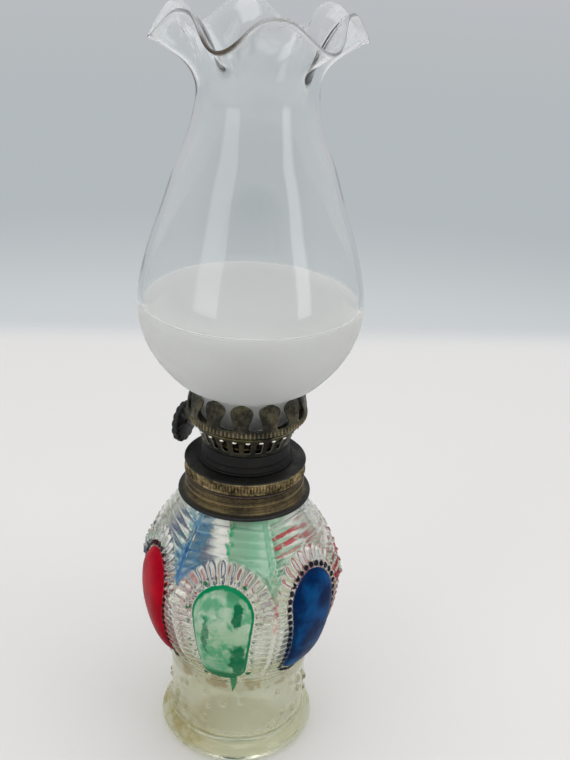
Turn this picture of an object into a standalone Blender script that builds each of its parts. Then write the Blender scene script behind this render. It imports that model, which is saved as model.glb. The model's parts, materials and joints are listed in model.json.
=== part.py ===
"""Small pressed-glass oil lamp: a jewelled glass font, a brass screw burner with its wick
winder, and a crimped-top chimney. The origin is the middle of the foot's underside."""

import math

import bmesh
import bpy
from mathutils import Matrix, Vector

mm = 0.001

# clearances
rest_gap = 0.3 * mm          # between pieces that touch on the real lamp
run_gap = 0.25 * mm          # round a turning shaft and between the two screw threads
reach = 1.0 * mm             # how far a cutter runs past the wall that it cuts

# font, the glass oil bottle
foot_radius = 21.7 * mm
foot_rise = 6.2 * mm         # height of the rolled foot
waist_radius = 19.2 * mm
waist_rise = 17.6 * mm       # from the foot's crease to the band under the body
band_rise = 4.6 * mm
belly_radius = 27.2 * mm
belly_rise = 22.4 * mm       # from the band to the widest part of the body
shoulder_rise = 25.4 * mm    # from the widest part to the root of the neck
glass_wall = 2.6 * mm
base_glass = 4.0 * mm
neck_rise = 1.6 * mm
panel_count = 6
panel_turn = math.radians(-12)   # azimuth of the first panel's middle, 0 facing -Y
jewel_radius = 8.2 * mm      # half the jewel's width at its round top
jewel_foot = 5.2 * mm        # half its width at the bottom
jewel_height = 1.5 * mm      # how far it stands out of its panel
jewel_top_below_shoulder = 14.6 * mm

# screw collar and burner cap
cap_radius = 16.0 * mm
sheet = 0.45 * mm            # the brass sheet that everything is pressed from
thread_pitch = 2.0 * mm
thread_depth = 0.3 * mm      # half the wave's height
thread_row = 0.45 * mm       # height of one row of the thread's facets
collar_wall_rise = 4.0 * mm
collar_flare = 1.75 * mm     # how far the collar's skirt stands out past its wall
neck_mouth_radius = 10.4 * mm
cement_width = 1.2 * mm
washer_thickness = 0.5 * mm
knurl_rise = 3.4 * mm
screw_engagement = 2.3 * mm

# drum, slotted basket and pronged crown
drum_radius = 11.5 * mm
drum_rise = 4.8 * mm
basket_rise = 6.4 * mm
crown_radius = 15.4 * mm
crown_rise = 9.2 * mm
prong_count = 13
opening_turn = math.radians(9)
opening_half_width = 1.8 * mm
opening_neck_half = 0.7 * mm
slot_width = 1.7 * mm
plate_hole_radius = 0.9 * mm
plate_hole_count = 16

# wick, its tube and its winder
wick_width = 7.6 * mm
wick_thickness = 1.2 * mm
wick_clearance = 0.3 * mm
tube_above_cap = 19.0 * mm
tube_below_cap = 14.0 * mm
wick_above_tube = 1.6 * mm
wick_below_tube = 36.0 * mm
shaft_radius = 0.8 * mm
shaft_above_cap = 3.4 * mm
shaft_turn = math.radians(-115)
spur_radius = 2.4 * mm
spur_root_radius = 1.6 * mm
spur_teeth = 10
spur_thickness = 0.8 * mm
spur_spread = 2.2 * mm       # from the tube's middle to each spur wheel
knob_radius = 5.65 * mm
knob_thickness = 2.0 * mm
knob_lobes = 14
knob_clearance = 3.2 * mm    # from the cap's edge out to the knob
bush_wall = 0.5 * mm
bush_length = 2.6 * mm
vent_radius = 1.0 * mm
vent_rise = 3.2 * mm
vent_drop = 5.0 * mm
cone_rise = 10.8 * mm

# chimney
fitter_rise = 4.4 * mm       # straight part inside the crown
bulge_radius = 27.9 * mm
bulge_height = 30.7 * mm     # from the chimney's bottom edge to its widest part
throat_radius = 14.3 * mm
throat_height = 79.6 * mm
chimney_height = 99.2 * mm
chimney_wall = 1.3 * mm
rim_radius = 23.0 * mm
rim_wave = 1.8 * mm          # in and out at the crimped rim
rim_droop = 3.4 * mm         # up and down at the crimped rim
lobe_count = 6
lobe_turn = math.radians(9)

# stack of heights
waist_z = foot_rise + waist_rise
body_z = waist_z + band_rise
belly_z = body_z + belly_rise
shoulder_z = belly_z + shoulder_rise
neck_z = shoulder_z + neck_rise
shelf_z = neck_z + rest_gap
wall_z = shelf_z + sheet
collar_top_z = wall_z + collar_wall_rise - sheet
washer_z = collar_top_z + rest_gap
knurl_z = washer_z + washer_thickness + rest_gap
cap_z = knurl_z + knurl_rise
drum_z = cap_z + rest_gap
drum_top_z = drum_z + drum_rise
basket_z = drum_top_z + rest_gap
basket_top_z = basket_z + basket_rise
crown_z = basket_top_z + rest_gap
crown_top_z = crown_z + crown_rise
chimney_z = crown_z + sheet + rest_gap
shaft_z = cap_z + shaft_above_cap
tube_top_z = cap_z + tube_above_cap
tube_bottom_z = cap_z - tube_below_cap

# radii and widths that follow from them
collar_radius = cap_radius - thread_depth - 0.25 * mm    # middle of the threaded wall, outside
skirt_radius = collar_radius - sheet - run_gap           # middle of the burner's thread
cement_outer = collar_radius + thread_depth - 1.8 * sheet - rest_gap
cement_inner = cement_outer - cement_width
neck_radius = cement_inner - rest_gap
flare_radius = collar_radius + collar_flare + thread_depth
shoulder_radius = flare_radius - 0.9 * mm
prong_tip_radius = crown_radius - 0.45 * mm
fitter_radius = prong_tip_radius - sheet - 2.4 * mm
seat_radius = fitter_radius - chimney_wall + 0.1 * mm
cone_radius = seat_radius - rest_gap
tube_width = wick_width + 2 * (wick_clearance + sheet)
tube_depth = wick_thickness + 2 * (wick_clearance + sheet)
shaft_offset = wick_thickness / 2 + wick_clearance + spur_radius
guide_half_width = spur_spread + spur_thickness / 2 + 1.4 * mm + sheet
guide_reach = spur_radius + rest_gap + sheet
plate_radius = drum_radius - sheet - rest_gap
knob_back = cap_radius + knob_clearance
knob_face = knob_back + knob_thickness

# facets round a turned piece
font_steps = 42
screw_steps = 40
ring_steps = 32
crown_steps = 4 * prong_count
cone_steps = 28
chimney_steps = 6 * lobe_count


def material(name, colour, roughness, metallic=0.0, transmission=0.0):
    """A Principled material for one piece."""
    made = bpy.data.materials.new(name)
    made.use_nodes = True
    shader = made.node_tree.nodes["Principled BSDF"]
    shader.inputs["Base Color"].default_value = (*colour, 1.0)
    shader.inputs["Roughness"].default_value = roughness
    shader.inputs["Metallic"].default_value = metallic
    shader.inputs["Transmission Weight"].default_value = transmission
    made.diffuse_color = (*colour, 1.0)
    return made


def placed(name, bm, made, parent=None):
    """The bmesh as a named, smooth-shaded object that faces outwards."""
    bmesh.ops.recalc_face_normals(bm, faces=bm.faces)
    if bm.calc_volume(signed=True) < 0:
        bmesh.ops.reverse_faces(bm, faces=bm.faces)
    mesh = bpy.data.meshes.new(name)
    bm.to_mesh(mesh)
    bm.free()
    mesh.shade_smooth()
    mesh.set_sharp_from_angle(angle=math.radians(35))
    made_object = bpy.data.objects.new(name, mesh)
    if made:
        mesh.materials.append(made)
    bpy.context.scene.collection.objects.link(made_object)
    made_object.parent = parent
    return made_object


def spun(outline, segments, closed=True, shape=None):
    """The outline, in (radius, height), turned round Z. shape(radius, height, azimuth) moves each point."""
    bm = bmesh.new()
    points = [bm.verts.new((radius, 0, height)) for radius, height in outline]
    edges = [bm.edges.new(pair) for pair in zip(points, points[1:])]
    if closed:
        edges.append(bm.edges.new((points[-1], points[0])))
    bmesh.ops.spin(
        bm,
        geom=points + edges,
        cent=(0, 0, 0),
        axis=(0, 0, 1),
        angle=2 * math.pi,
        steps=segments,
        use_merge=True,
    )
    bmesh.ops.remove_doubles(bm, verts=bm.verts, dist=1e-7)
    if shape:
        for vertex in bm.verts:
            azimuth = math.atan2(vertex.co.x, -vertex.co.y)
            radius, height = shape(vertex.co.xy.length, vertex.co.z, azimuth)
            vertex.co = (radius * math.sin(azimuth), -radius * math.cos(azimuth), height)
    return bm


def prism(outline, bottom, top):
    """The outline, in (x, y), pulled up from bottom to top."""
    bm = bmesh.new()
    face = bm.faces.new([bm.verts.new((x, y, bottom)) for x, y in outline])
    pulled = bmesh.ops.extrude_face_region(bm, geom=[face])["geom"]
    moved = [item for item in pulled if isinstance(item, bmesh.types.BMVert)]
    bmesh.ops.translate(bm, verts=moved, vec=(0, 0, top - bottom))
    return bm


def moved_by(bm, matrix):
    bmesh.ops.transform(bm, matrix=matrix, verts=bm.verts)
    return bm


def joined(pieces):
    """Several bmeshes as one."""
    whole = bmesh.new()
    for piece in pieces:
        mesh = bpy.data.meshes.new("joined")
        piece.to_mesh(mesh)
        piece.free()
        whole.from_mesh(mesh)
        bpy.data.meshes.remove(mesh)
    return whole


def cut(target, name, bm, parent=None):
    """Takes the bmesh away from the target with a Boolean."""
    cutter = placed(name, bm, None, parent)
    cutter.hide_render = True
    cutter.display_type = "WIRE"
    boolean = target.modifiers.new(name, "BOOLEAN")
    boolean.operation = "DIFFERENCE"
    boolean.object = cutter
    return cutter


def arc(centre, radius, start, end, steps):
    """Points on an arc in a flat outline, angles in degrees."""
    return [
        (
            centre[0] + radius * math.cos(math.radians(start + (end - start) * i / steps)),
            centre[1] + radius * math.sin(math.radians(start + (end - start) * i / steps)),
        )
        for i in range(steps + 1)
    ]


def rounded_rectangle(width, depth, corner, steps=4):
    x = width / 2 - corner
    y = depth / 2 - corner
    return (
        arc((x, y), corner, 0, 90, steps)
        + arc((-x, y), corner, 90, 180, steps)
        + arc((-x, -y), corner, 180, 270, steps)
        + arc((x, -y), corner, 270, 360, steps)
    )


def disc(radius, steps):
    return arc((0, 0), radius, 0, 360 - 360 / steps, steps - 1)


def smooth_curve(points, steps):
    """A Catmull-Rom curve through the points, with steps to each stretch."""
    ends = [points[0], *points, points[-1]]
    found = [points[0]]
    for i in range(1, len(ends) - 2):
        for step in range(1, steps + 1):
            t = step / steps
            found.append(
                tuple(
                    0.5
                    * (
                        2 * b
                        + (c - a) * t
                        + (2 * a - 5 * b + 4 * c - d) * t**2
                        + (3 * b - a - 3 * c + d) * t**3
                    )
                    for a, b, c, d in zip(ends[i - 1], ends[i], ends[i + 1], ends[i + 2])
                )
            )
    return found


def eased(low, high, value):
    """0 below low, 1 above high and smooth between."""
    t = min(max((value - low) / (high - low), 0.0), 1.0)
    return t * t * (3 - 2 * t)


def empty(name, location, turn):
    made = bpy.data.objects.new(name, None)
    made.empty_display_size = 0.01
    made.location = location
    made.rotation_euler = (0, 0, turn)
    bpy.context.scene.collection.objects.link(made)
    return made


for leftover in list(bpy.data.objects):
    bpy.data.objects.remove(leftover)

brass = (0.33, 0.26, 0.13)
dark_brass = (0.06, 0.055, 0.045)

# local X runs along the winder shaft, out towards the knob
winder_angle = math.atan2(-math.cos(shaft_turn), math.sin(shaft_turn))
tube_frame = empty("tube_frame", (0, 0, 0), winder_angle)
shaft_side = Matrix.Rotation(winder_angle, 4, "Z") @ Vector((0, -shaft_offset, 0))
shaft_frame = empty("shaft_frame", (shaft_side.x, shaft_side.y, shaft_z), winder_angle)


# ---------------------------------------------------------------- font and collar
def panel_offset(azimuth):
    """Angle from the middle of the nearest panel."""
    panel = 2 * math.pi / panel_count
    return (azimuth - panel_turn + panel / 2) % panel - panel / 2


def jewel_inset(across, height):
    """How far a point lies inside the jewel's outline, negative outside."""
    centre_z = shoulder_z - jewel_top_below_shoulder - jewel_radius
    if height >= centre_z:
        return jewel_radius - math.hypot(across, height - centre_z)
    share = (height - body_z) / (centre_z - body_z)
    half = jewel_foot + (jewel_radius - jewel_foot) * math.sqrt(max(share, 0.0))
    return min(half - abs(across), height - body_z)


def font_surface(radius, height, azimuth):
    """Six flats on the body, each with its raised jewel."""
    if height < body_z or height > shoulder_z or radius < waist_radius - glass_wall:
        return radius, height
    offset = panel_offset(azimuth)
    flatness = 0.75 * eased(body_z, shoulder_z, height)
    flat = math.cos(math.pi / panel_count) / math.cos(offset)
    radius *= 1 + flatness * (flat - 1) * eased(body_z, belly_z, height)
    inset = jewel_inset(radius * math.sin(offset), height)
    rise = min(max(inset / (0.5 * jewel_radius), 0.0), 1.0)
    return radius + jewel_height * math.sqrt(1 - (1 - rise) ** 2), height


shoulder_curve = smooth_curve(
    [
        (waist_radius, body_z),
        (belly_radius - 3.0 * mm, body_z + 0.4 * belly_rise),
        (belly_radius, belly_z),
        (belly_radius - 2.6 * mm, belly_z + 0.5 * shoulder_rise),
        (shoulder_radius, shoulder_z),
    ],
    4,
)
outside = [
    (foot_radius - 2.2 * mm, 0),
    *arc((foot_radius - 2.0 * mm, 2.4 * mm), 2.0 * mm, -60, 60, 4),
    (foot_radius - 1.6 * mm, foot_rise - 0.5 * mm),
    (waist_radius, foot_rise),
    (waist_radius - 0.2 * mm, foot_rise + 0.5 * waist_rise),
    (waist_radius, waist_z),
    *shoulder_curve,
    (neck_radius, shoulder_z),
    (neck_radius, neck_z),
]
inside_curve = [
    (radius - glass_wall, height)
    for radius, height in reversed(shoulder_curve[:-2:2])
    if radius - glass_wall > neck_mouth_radius
]
inside = [
    (neck_mouth_radius, neck_z),
    (neck_mouth_radius, shoulder_z - glass_wall),
    *inside_curve,
    (waist_radius - glass_wall, foot_rise),
    (waist_radius - glass_wall - 3.0 * mm, base_glass),
    (0, base_glass),
]
glass_font = placed(
    "glass_font",
    spun([(0, 0), *outside, *inside], font_steps, closed=False, shape=font_surface),
    material("font_glass", (0.86, 0.9, 0.8), 0.05, transmission=1.0),
)


def screw_wave(height, azimuth):
    """A right-hand thread's wave, from -1 to 1."""
    return math.cos(2 * math.pi * height / thread_pitch - azimuth)


def collar_thread(radius, height, azimuth):
    """The rolled thread, which ends at its widest so that the burner can come out."""
    if not (wall_z < height < collar_top_z and radius > neck_radius):
        return radius, height
    fade = eased(wall_z, wall_z + 0.5 * mm, height) * eased(0, 0.5 * mm, collar_top_z - height)
    return radius + thread_depth * (fade * (screw_wave(height, azimuth) - 1)), height


wide_wall = collar_radius + thread_depth
thread_rows = round((collar_top_z - wall_z) / thread_row)
thread_heights = [
    wall_z + (collar_top_z - wall_z) * row / thread_rows for row in range(thread_rows + 1)
]
flare_z = shelf_z - 1.3 * mm
font_collar = placed(
    "font_collar",
    spun(
        [
            (flare_radius - 0.3 * mm, flare_z - 0.25 * mm),
            (flare_radius, flare_z),
            (flare_radius, flare_z + 0.35 * mm),
            (flare_radius - 0.4 * mm, flare_z + 0.65 * mm),
            (wide_wall, shelf_z - 0.5 * mm),
            *[(wide_wall, height) for height in thread_heights],
            *[(wide_wall - sheet, height) for height in reversed(thread_heights)],
            (neck_mouth_radius + 1.0 * mm, wall_z),
            (neck_mouth_radius + 1.0 * mm, shelf_z),
            (wide_wall - 1.8 * sheet, shelf_z),
            (wide_wall - 1.8 * sheet, shelf_z - 0.8 * mm),
        ],
        screw_steps,
        shape=collar_thread,
    ),
    material("collar_brass", brass, 0.45, 1.0),
)
placed(
    "collar_cement",
    spun(
        [
            (cement_outer, shoulder_z + rest_gap),
            (cement_outer, shelf_z - rest_gap),
            (cement_inner, shelf_z - rest_gap),
            (cement_inner, shoulder_z + rest_gap),
        ],
        ring_steps,
    ),
    material("cement_plaster", (0.72, 0.7, 0.64), 0.9),
)


# ---------------------------------------------------------------- burner cap and washer
skirt_bottom_z = collar_top_z - screw_engagement
skirt_plain_z = collar_top_z + 0.1 * mm      # above this the skirt is plain, inside the washer
narrow_skirt = skirt_radius - thread_depth


def skirt_thread(radius, height, azimuth):
    """The burner's thread, which ends at its narrowest."""
    if height > skirt_plain_z or radius > skirt_radius:
        return radius, height
    fade = eased(0, 0.5 * mm, height - skirt_bottom_z) * eased(0, 0.5 * mm, skirt_plain_z - height)
    return radius + thread_depth * fade * (screw_wave(height, azimuth) + 1), height


skirt_rows = round(screw_engagement / thread_row)
skirt_heights = [
    skirt_plain_z + (skirt_bottom_z - skirt_plain_z) * row / skirt_rows
    for row in range(skirt_rows + 1)
]
band_radius = cap_radius - 0.15 * mm
cap_floor_z = cap_z - sheet
burner_cap = placed(
    "burner_cap",
    spun(
        [
            (0, cap_z),
            (drum_radius + 1.5 * mm, cap_z),
            *arc((cap_radius - 0.4 * mm, cap_z - 0.4 * mm), 0.4 * mm, 90, 0, 3),
            (band_radius, cap_z - 0.8 * mm),
            (band_radius, knurl_z),
            (band_radius - sheet, knurl_z),
            (band_radius - sheet, cap_floor_z),
            (narrow_skirt, cap_floor_z),
            *[(narrow_skirt, height) for height in skirt_heights],
            *[(narrow_skirt - sheet, height) for height in reversed(skirt_heights)],
            (narrow_skirt - sheet, cap_floor_z),
            (0, cap_floor_z),
        ],
        screw_steps,
        closed=False,
        shape=skirt_thread,
    ),
    material("cap_brass", brass, 0.5, 1.0),
)
placed(
    "cap_washer",
    spun(
        [
            (band_radius, washer_z),
            (band_radius, washer_z + washer_thickness),
            (narrow_skirt + rest_gap, washer_z + washer_thickness),
            (narrow_skirt + rest_gap, washer_z),
        ],
        ring_steps,
    ),
    material("washer_fibre", (0.1, 0.07, 0.05), 0.9),
)

# ---------------------------------------------------------------- wick tube
tube_outline = rounded_rectangle(tube_width, tube_depth, 0.45 * tube_depth)
bore_outline = rounded_rectangle(
    tube_width - 2 * sheet, tube_depth - 2 * sheet, 0.45 * (tube_depth - 2 * sheet)
)
hole_outline = rounded_rectangle(
    tube_width + 2 * rest_gap, tube_depth + 2 * rest_gap, 0.45 * tube_depth + rest_gap
)
wick_tube = placed(
    "wick_tube",
    prism(tube_outline, tube_bottom_z, tube_top_z),
    material("tube_brass", brass, 0.45, 1.0),
    tube_frame,
)
cut(wick_tube, "tube_bore", prism(bore_outline, tube_bottom_z - reach, tube_top_z + reach), tube_frame)
cut(burner_cap, "cap_tube_hole", prism(hole_outline, cap_floor_z - reach, cap_z + reach), tube_frame)

ferrule_lip = 1.2 * mm
ferrule_top_z = cap_floor_z - rest_gap
tube_ferrule = placed(
    "tube_ferrule",
    prism(
        rounded_rectangle(
            tube_width + 2 * (rest_gap + ferrule_lip),
            tube_depth + 2 * (rest_gap + ferrule_lip),
            0.45 * tube_depth + ferrule_lip,
        ),
        ferrule_top_z - 2 * sheet,
        ferrule_top_z,
    ),
    material("ferrule_brass", brass, 0.5, 1.0),
    tube_frame,
)
cut(
    tube_ferrule,
    "ferrule_hole",
    prism(hole_outline, ferrule_top_z - 2 * sheet - reach, ferrule_top_z + reach),
    tube_frame,
)

# windows in the tube's wall, where the spur wheels reach the wick
window_half = spur_thickness / 2 + rest_gap
window_height = spur_radius + rest_gap
for name, side in (("near_window", 1), ("far_window", -1)):
    middle = side * spur_spread
    corners = [
        (middle - window_half, -tube_depth),
        (middle + window_half, -tube_depth),
        (middle + window_half, 0),
        (middle - window_half, 0),
    ]
    window = prism(corners, shaft_z - window_height, shaft_z + window_height)
    cut(wick_tube, name, window, tube_frame)

# ---------------------------------------------------------------- drum, plate and winder guide
burner_drum = placed(
    "burner_drum",
    spun(
        [
            (drum_radius + 0.9 * mm, drum_z),
            (drum_radius + 0.9 * mm, drum_z + sheet),
            (drum_radius, drum_z + 1.2 * mm),
            (drum_radius, drum_top_z),
            (drum_radius - sheet, drum_top_z),
            (drum_radius - sheet, drum_z),
        ],
        ring_steps,
    ),
    material("drum_patina", dark_brass, 0.6, 0.8),
)
bush_bore = shaft_radius + run_gap
bush_radius = bush_bore + bush_wall
drum_wall_x = math.sqrt(drum_radius**2 - shaft_offset**2)
along_shaft = Matrix.Rotation(math.radians(90), 4, "Y")
cut(
    burner_drum,
    "drum_shaft_hole",
    moved_by(
        prism(disc(bush_radius + rest_gap, 16), 0.5 * drum_wall_x, drum_wall_x + 3 * reach),
        along_shaft,
    ),
    shaft_frame,
)
bush_start = drum_wall_x - 0.6 * bush_length
shaft_bush = placed(
    "shaft_bush",
    moved_by(prism(disc(bush_radius, 16), bush_start, bush_start + bush_length), along_shaft),
    material("bush_brass", brass, 0.4, 1.0),
    shaft_frame,
)
cut(
    shaft_bush,
    "bush_bore",
    moved_by(
        prism(disc(bush_bore, 16), bush_start - reach, bush_start + bush_length + reach),
        along_shaft,
    ),
    shaft_frame,
)

guide_bottom_z = shaft_z - guide_reach
guide_top_z = shaft_z + guide_reach
guide_front = -(tube_depth / 2 + rest_gap)
guide_back = -(shaft_offset + guide_reach)


def box_outline(half_width, back, front):
    return [(-half_width, back), (half_width, back), (half_width, front), (-half_width, front)]


wick_guide = placed(
    "wick_guide",
    prism(box_outline(guide_half_width, guide_back, guide_front), guide_bottom_z, guide_top_z),
    material("guide_brass", brass, 0.5, 1.0),
    tube_frame,
)
cut(
    wick_guide,
    "guide_hollow",
    prism(
        box_outline(guide_half_width - sheet, guide_back + sheet, guide_front + reach),
        guide_bottom_z + sheet,
        guide_top_z - sheet,
    ),
    tube_frame,
)
cut(
    wick_guide,
    "guide_shaft_holes",
    moved_by(
        prism(disc(bush_bore, 16), -guide_half_width - reach, guide_half_width + reach),
        along_shaft,
    ),
    shaft_frame,
)

plate_z = max(basket_z, guide_top_z) + rest_gap
plate_top_z = plate_z + sheet
air_plate = placed(
    "air_plate",
    prism(disc(plate_radius, ring_steps), plate_z, plate_top_z),
    material("plate_brass", brass, 0.5, 1.0),
    tube_frame,
)
cut(
    air_plate,
    "plate_tube_hole",
    prism(hole_outline, plate_z - reach, plate_top_z + reach),
    tube_frame,
)
hole_circle = plate_radius - 2.2 * mm
plate_holes = []
for i in range(plate_hole_count):
    turn = 2 * math.pi * (i + 0.5) / plate_hole_count
    hole = prism(disc(plate_hole_radius, 8), plate_z - reach, plate_top_z + reach)
    place = (hole_circle * math.cos(turn), hole_circle * math.sin(turn), 0)
    plate_holes.append(moved_by(hole, Matrix.Translation(place)))
cut(air_plate, "plate_air_holes", joined(plate_holes), tube_frame)

vent_x = -(tube_width / 2 + vent_radius + 1.6 * mm)
vent_y = 3.4 * mm
vent_place = Matrix.Translation((vent_x, vent_y, 0))
vent_top_z = cap_z + vent_rise
vent_bottom_z = cap_z - vent_drop
vent_tube = placed(
    "vent_tube",
    moved_by(prism(disc(vent_radius, 14), vent_bottom_z, vent_top_z), vent_place),
    material("vent_brass", brass, 0.5, 1.0),
    tube_frame,
)
cut(
    vent_tube,
    "vent_bore",
    moved_by(
        prism(disc(vent_radius - 0.35 * mm, 14), vent_bottom_z - reach, vent_top_z + reach), vent_place
    ),
    tube_frame,
)
cut(
    burner_cap,
    "cap_vent_hole",
    moved_by(prism(disc(vent_radius + rest_gap, 14), cap_floor_z - reach, cap_z + reach), vent_place),
    tube_frame,
)

# ---------------------------------------------------------------- slotted basket
basket_bottom_radius = drum_radius
basket_top_radius = crown_radius - 0.9 * mm
gallery_basket = placed(
    "gallery_basket",
    spun(
        [
            (basket_bottom_radius, basket_z),
            (basket_bottom_radius + 0.45 * (basket_top_radius - basket_bottom_radius),
             basket_z + 0.4 * basket_rise),
            (basket_top_radius - 0.2 * mm, basket_z + 0.85 * basket_rise),
            (basket_top_radius, basket_top_z),
            (basket_top_radius - sheet, basket_top_z),
            (basket_top_radius - 0.2 * mm - sheet, basket_z + 0.85 * basket_rise),
            (basket_bottom_radius + 0.45 * (basket_top_radius - basket_bottom_radius) - sheet,
             basket_z + 0.4 * basket_rise),
            (basket_bottom_radius - sheet, basket_z),
        ],
        crown_steps,
    ),
    material("basket_brass", brass, 0.45, 1.0),
)
slot_count = 2 * prong_count
slot_turn = opening_turn + math.pi / slot_count
slot_start = 0.5 * basket_bottom_radius
slots = []
for i in range(slot_count):
    turn = slot_turn + 2 * math.pi * i / slot_count
    outline = rounded_rectangle(0.68 * basket_rise, slot_width, 0.35 * slot_width, 1)
    slot = prism(outline, slot_start, crown_radius + reach)
    slot_place = (
        Matrix.Translation((0, 0, basket_z + 0.44 * basket_rise))
        @ Matrix.Rotation(turn - math.pi / 2, 4, "Z")
        @ Matrix.Rotation(math.radians(90), 4, "Y")
    )
    slots.append(moved_by(slot, slot_place))
cut(gallery_basket, "basket_slots", joined(slots))

# ---------------------------------------------------------------- pronged crown
prong_crown = placed(
    "prong_crown",
    spun(
        [
            (seat_radius, crown_z),
            (crown_radius - 0.5 * mm, crown_z),
            (crown_radius, crown_z + 0.7 * mm),
            (crown_radius + 0.05 * mm, crown_z + 0.35 * crown_rise),
            (crown_radius - 0.05 * mm, crown_z + 0.65 * crown_rise),
            (prong_tip_radius, crown_top_z),
            (prong_tip_radius - sheet, crown_top_z),
            (crown_radius - 0.05 * mm - sheet, crown_z + 0.65 * crown_rise),
            (crown_radius + 0.05 * mm - sheet, crown_z + 0.35 * crown_rise),
            (crown_radius - sheet, crown_z + 0.7 * mm),
            (crown_radius - 0.5 * mm - sheet, crown_z + sheet),
            (seat_radius, crown_z + sheet),
        ],
        crown_steps,
    ),
    material("crown_brass", brass, 0.45, 1.0),
)
opening_z = crown_z + 0.24 * crown_rise
opening_neck_z = crown_z + 0.8 * crown_rise
half_gap = 0.42 * 2 * math.pi * crown_radius / prong_count
opening_side = [
    (opening_half_width - 0.6 * mm, opening_z),
    (opening_half_width, opening_z + 0.8 * mm),
    (opening_half_width - 0.25 * mm, opening_z + 2.2 * mm),
    (opening_neck_half, opening_neck_z - 0.5 * mm),
    (opening_neck_half + 0.15 * mm, opening_neck_z + 0.35 * mm),
    (half_gap, crown_top_z + 0.2 * mm),
]
opening_outline = [(height, across) for across, height in opening_side]
opening_outline += [(crown_top_z + reach, half_gap), (crown_top_z + reach, -half_gap)]
opening_outline += [(height, -across) for across, height in reversed(opening_side)]
openings = []
for i in range(prong_count):
    turn = opening_turn + 2 * math.pi * i / prong_count
    # the outline's first axis stands up, its second lies across the wall
    opening = prism([(-height, across) for height, across in opening_outline],
                    prong_tip_radius - 2 * reach, crown_radius + reach)
    place = Matrix.Rotation(turn - math.pi / 2, 4, "Z") @ Matrix.Rotation(math.radians(90), 4, "Y")
    openings.append(moved_by(opening, place))
cut(prong_crown, "crown_openings", joined(openings))

# ---------------------------------------------------------------- flame cone
cone_z = crown_z
cone_top_z = cone_z + cone_rise
cone_side = smooth_curve(
    [
        (cone_radius, cone_z),
        (cone_radius - 0.5 * mm, cone_z + 0.25 * cone_rise),
        (cone_radius - 2.2 * mm, cone_z + 0.62 * cone_rise),
        (cone_radius - 5.4 * mm, cone_z + 0.93 * cone_rise),
        (0, cone_top_z),
    ],
    2,
)
flame_cone = placed(
    "flame_cone",
    spun(
        cone_side
        + [(0, cone_top_z - sheet)]
        + [
            (radius - sheet, max(height - sheet, cone_z))
            for radius, height in reversed(cone_side[:-1])
        ],
        cone_steps,
    ),
    material("cone_brass", brass, 0.45, 1.0),
)
flame_slot = rounded_rectangle(tube_width + 0.8 * mm, tube_depth + 1.2 * mm, 0.4 * tube_depth)
cut(flame_cone, "cone_flame_slot", prism(flame_slot, cone_z + 0.7 * cone_rise, cone_top_z + reach), tube_frame)

# ---------------------------------------------------------------- winder shaft, spur wheels and knob
far_end = -guide_half_width - 1.0 * mm
placed(
    "wick_shaft",
    moved_by(prism(disc(shaft_radius, 12), far_end, knob_back - rest_gap), along_shaft),
    material("shaft_steel", (0.2, 0.19, 0.17), 0.4, 1.0),
    shaft_frame,
)


def toothed(root, tip, teeth):
    """A star outline with pointed teeth."""
    return [
        (radius * math.cos(angle), radius * math.sin(angle))
        for i in range(2 * teeth)
        for radius, angle in [((tip, root)[i % 2], math.pi * i / teeth)]
    ]


wheel_bore = disc(shaft_radius + rest_gap, 12)
for name, side in (("near_spur_wheel", 1), ("far_spur_wheel", -1)):
    low = side * spur_spread - spur_thickness / 2
    high = low + spur_thickness
    wheel = placed(
        name,
        moved_by(prism(toothed(spur_root_radius, spur_radius, spur_teeth), low, high), along_shaft),
        material(name + "_steel", (0.3, 0.29, 0.26), 0.4, 1.0),
        shaft_frame,
    )
    bore = moved_by(prism(wheel_bore, low - reach, high + reach), along_shaft)
    cut(wheel, name + "_bore", bore, shaft_frame)

lobed = [
    (radius * math.cos(angle), radius * math.sin(angle))
    for angle in [2 * math.pi * i / (6 * knob_lobes) for i in range(6 * knob_lobes)]
    for radius in [knob_radius * (1 - 0.07 * (1 - abs(math.cos(knob_lobes * angle / 2))))]
]
placed(
    "thumb_wheel",
    moved_by(prism(lobed, knob_back, knob_face), along_shaft),
    material("knob_patina", dark_brass, 0.55, 0.9),
    shaft_frame,
)
placed(
    "knob_rivet",
    moved_by(
        spun(
            [
                (0, knob_face + rest_gap),
                (1.5 * shaft_radius, knob_face + rest_gap),
                (1.3 * shaft_radius, knob_face + rest_gap + 0.4 * mm),
                (0.7 * shaft_radius, knob_face + rest_gap + 0.65 * mm),
                (0, knob_face + rest_gap + 0.7 * mm),
            ],
            14,
            closed=False,
        ),
        along_shaft,
    ),
    material("rivet_brass", brass, 0.4, 1.0),
    shaft_frame,
)

# ---------------------------------------------------------------- wick
placed(
    "wick",
    prism(
        rounded_rectangle(wick_width, wick_thickness, 0.45 * wick_thickness, 3),
        tube_bottom_z - wick_below_tube,
        tube_top_z + wick_above_tube,
    ),
    material("wick_cotton", (0.8, 0.77, 0.68), 0.95),
    tube_frame,
)

# ---------------------------------------------------------------- chimney
chimney_top_z = chimney_z + chimney_height
rim_z = chimney_top_z - rim_droop


def crimped(radius, height, azimuth):
    """The rim's lobes: each crest stands up and in, each trough lies down and out."""
    throat_z = chimney_z + throat_height
    share = eased(throat_z, rim_z, height)
    lobe = math.cos(lobe_count * (azimuth - lobe_turn))
    return radius - share * rim_wave * lobe, height + share**2 * rim_droop * lobe


def between(start, end, shares):
    """Points from start to end, each given as its share of the way in radius and in height."""
    return [
        (start[0] + across * (end[0] - start[0]), start[1] + up * (end[1] - start[1]))
        for across, up in shares
    ]


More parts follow.
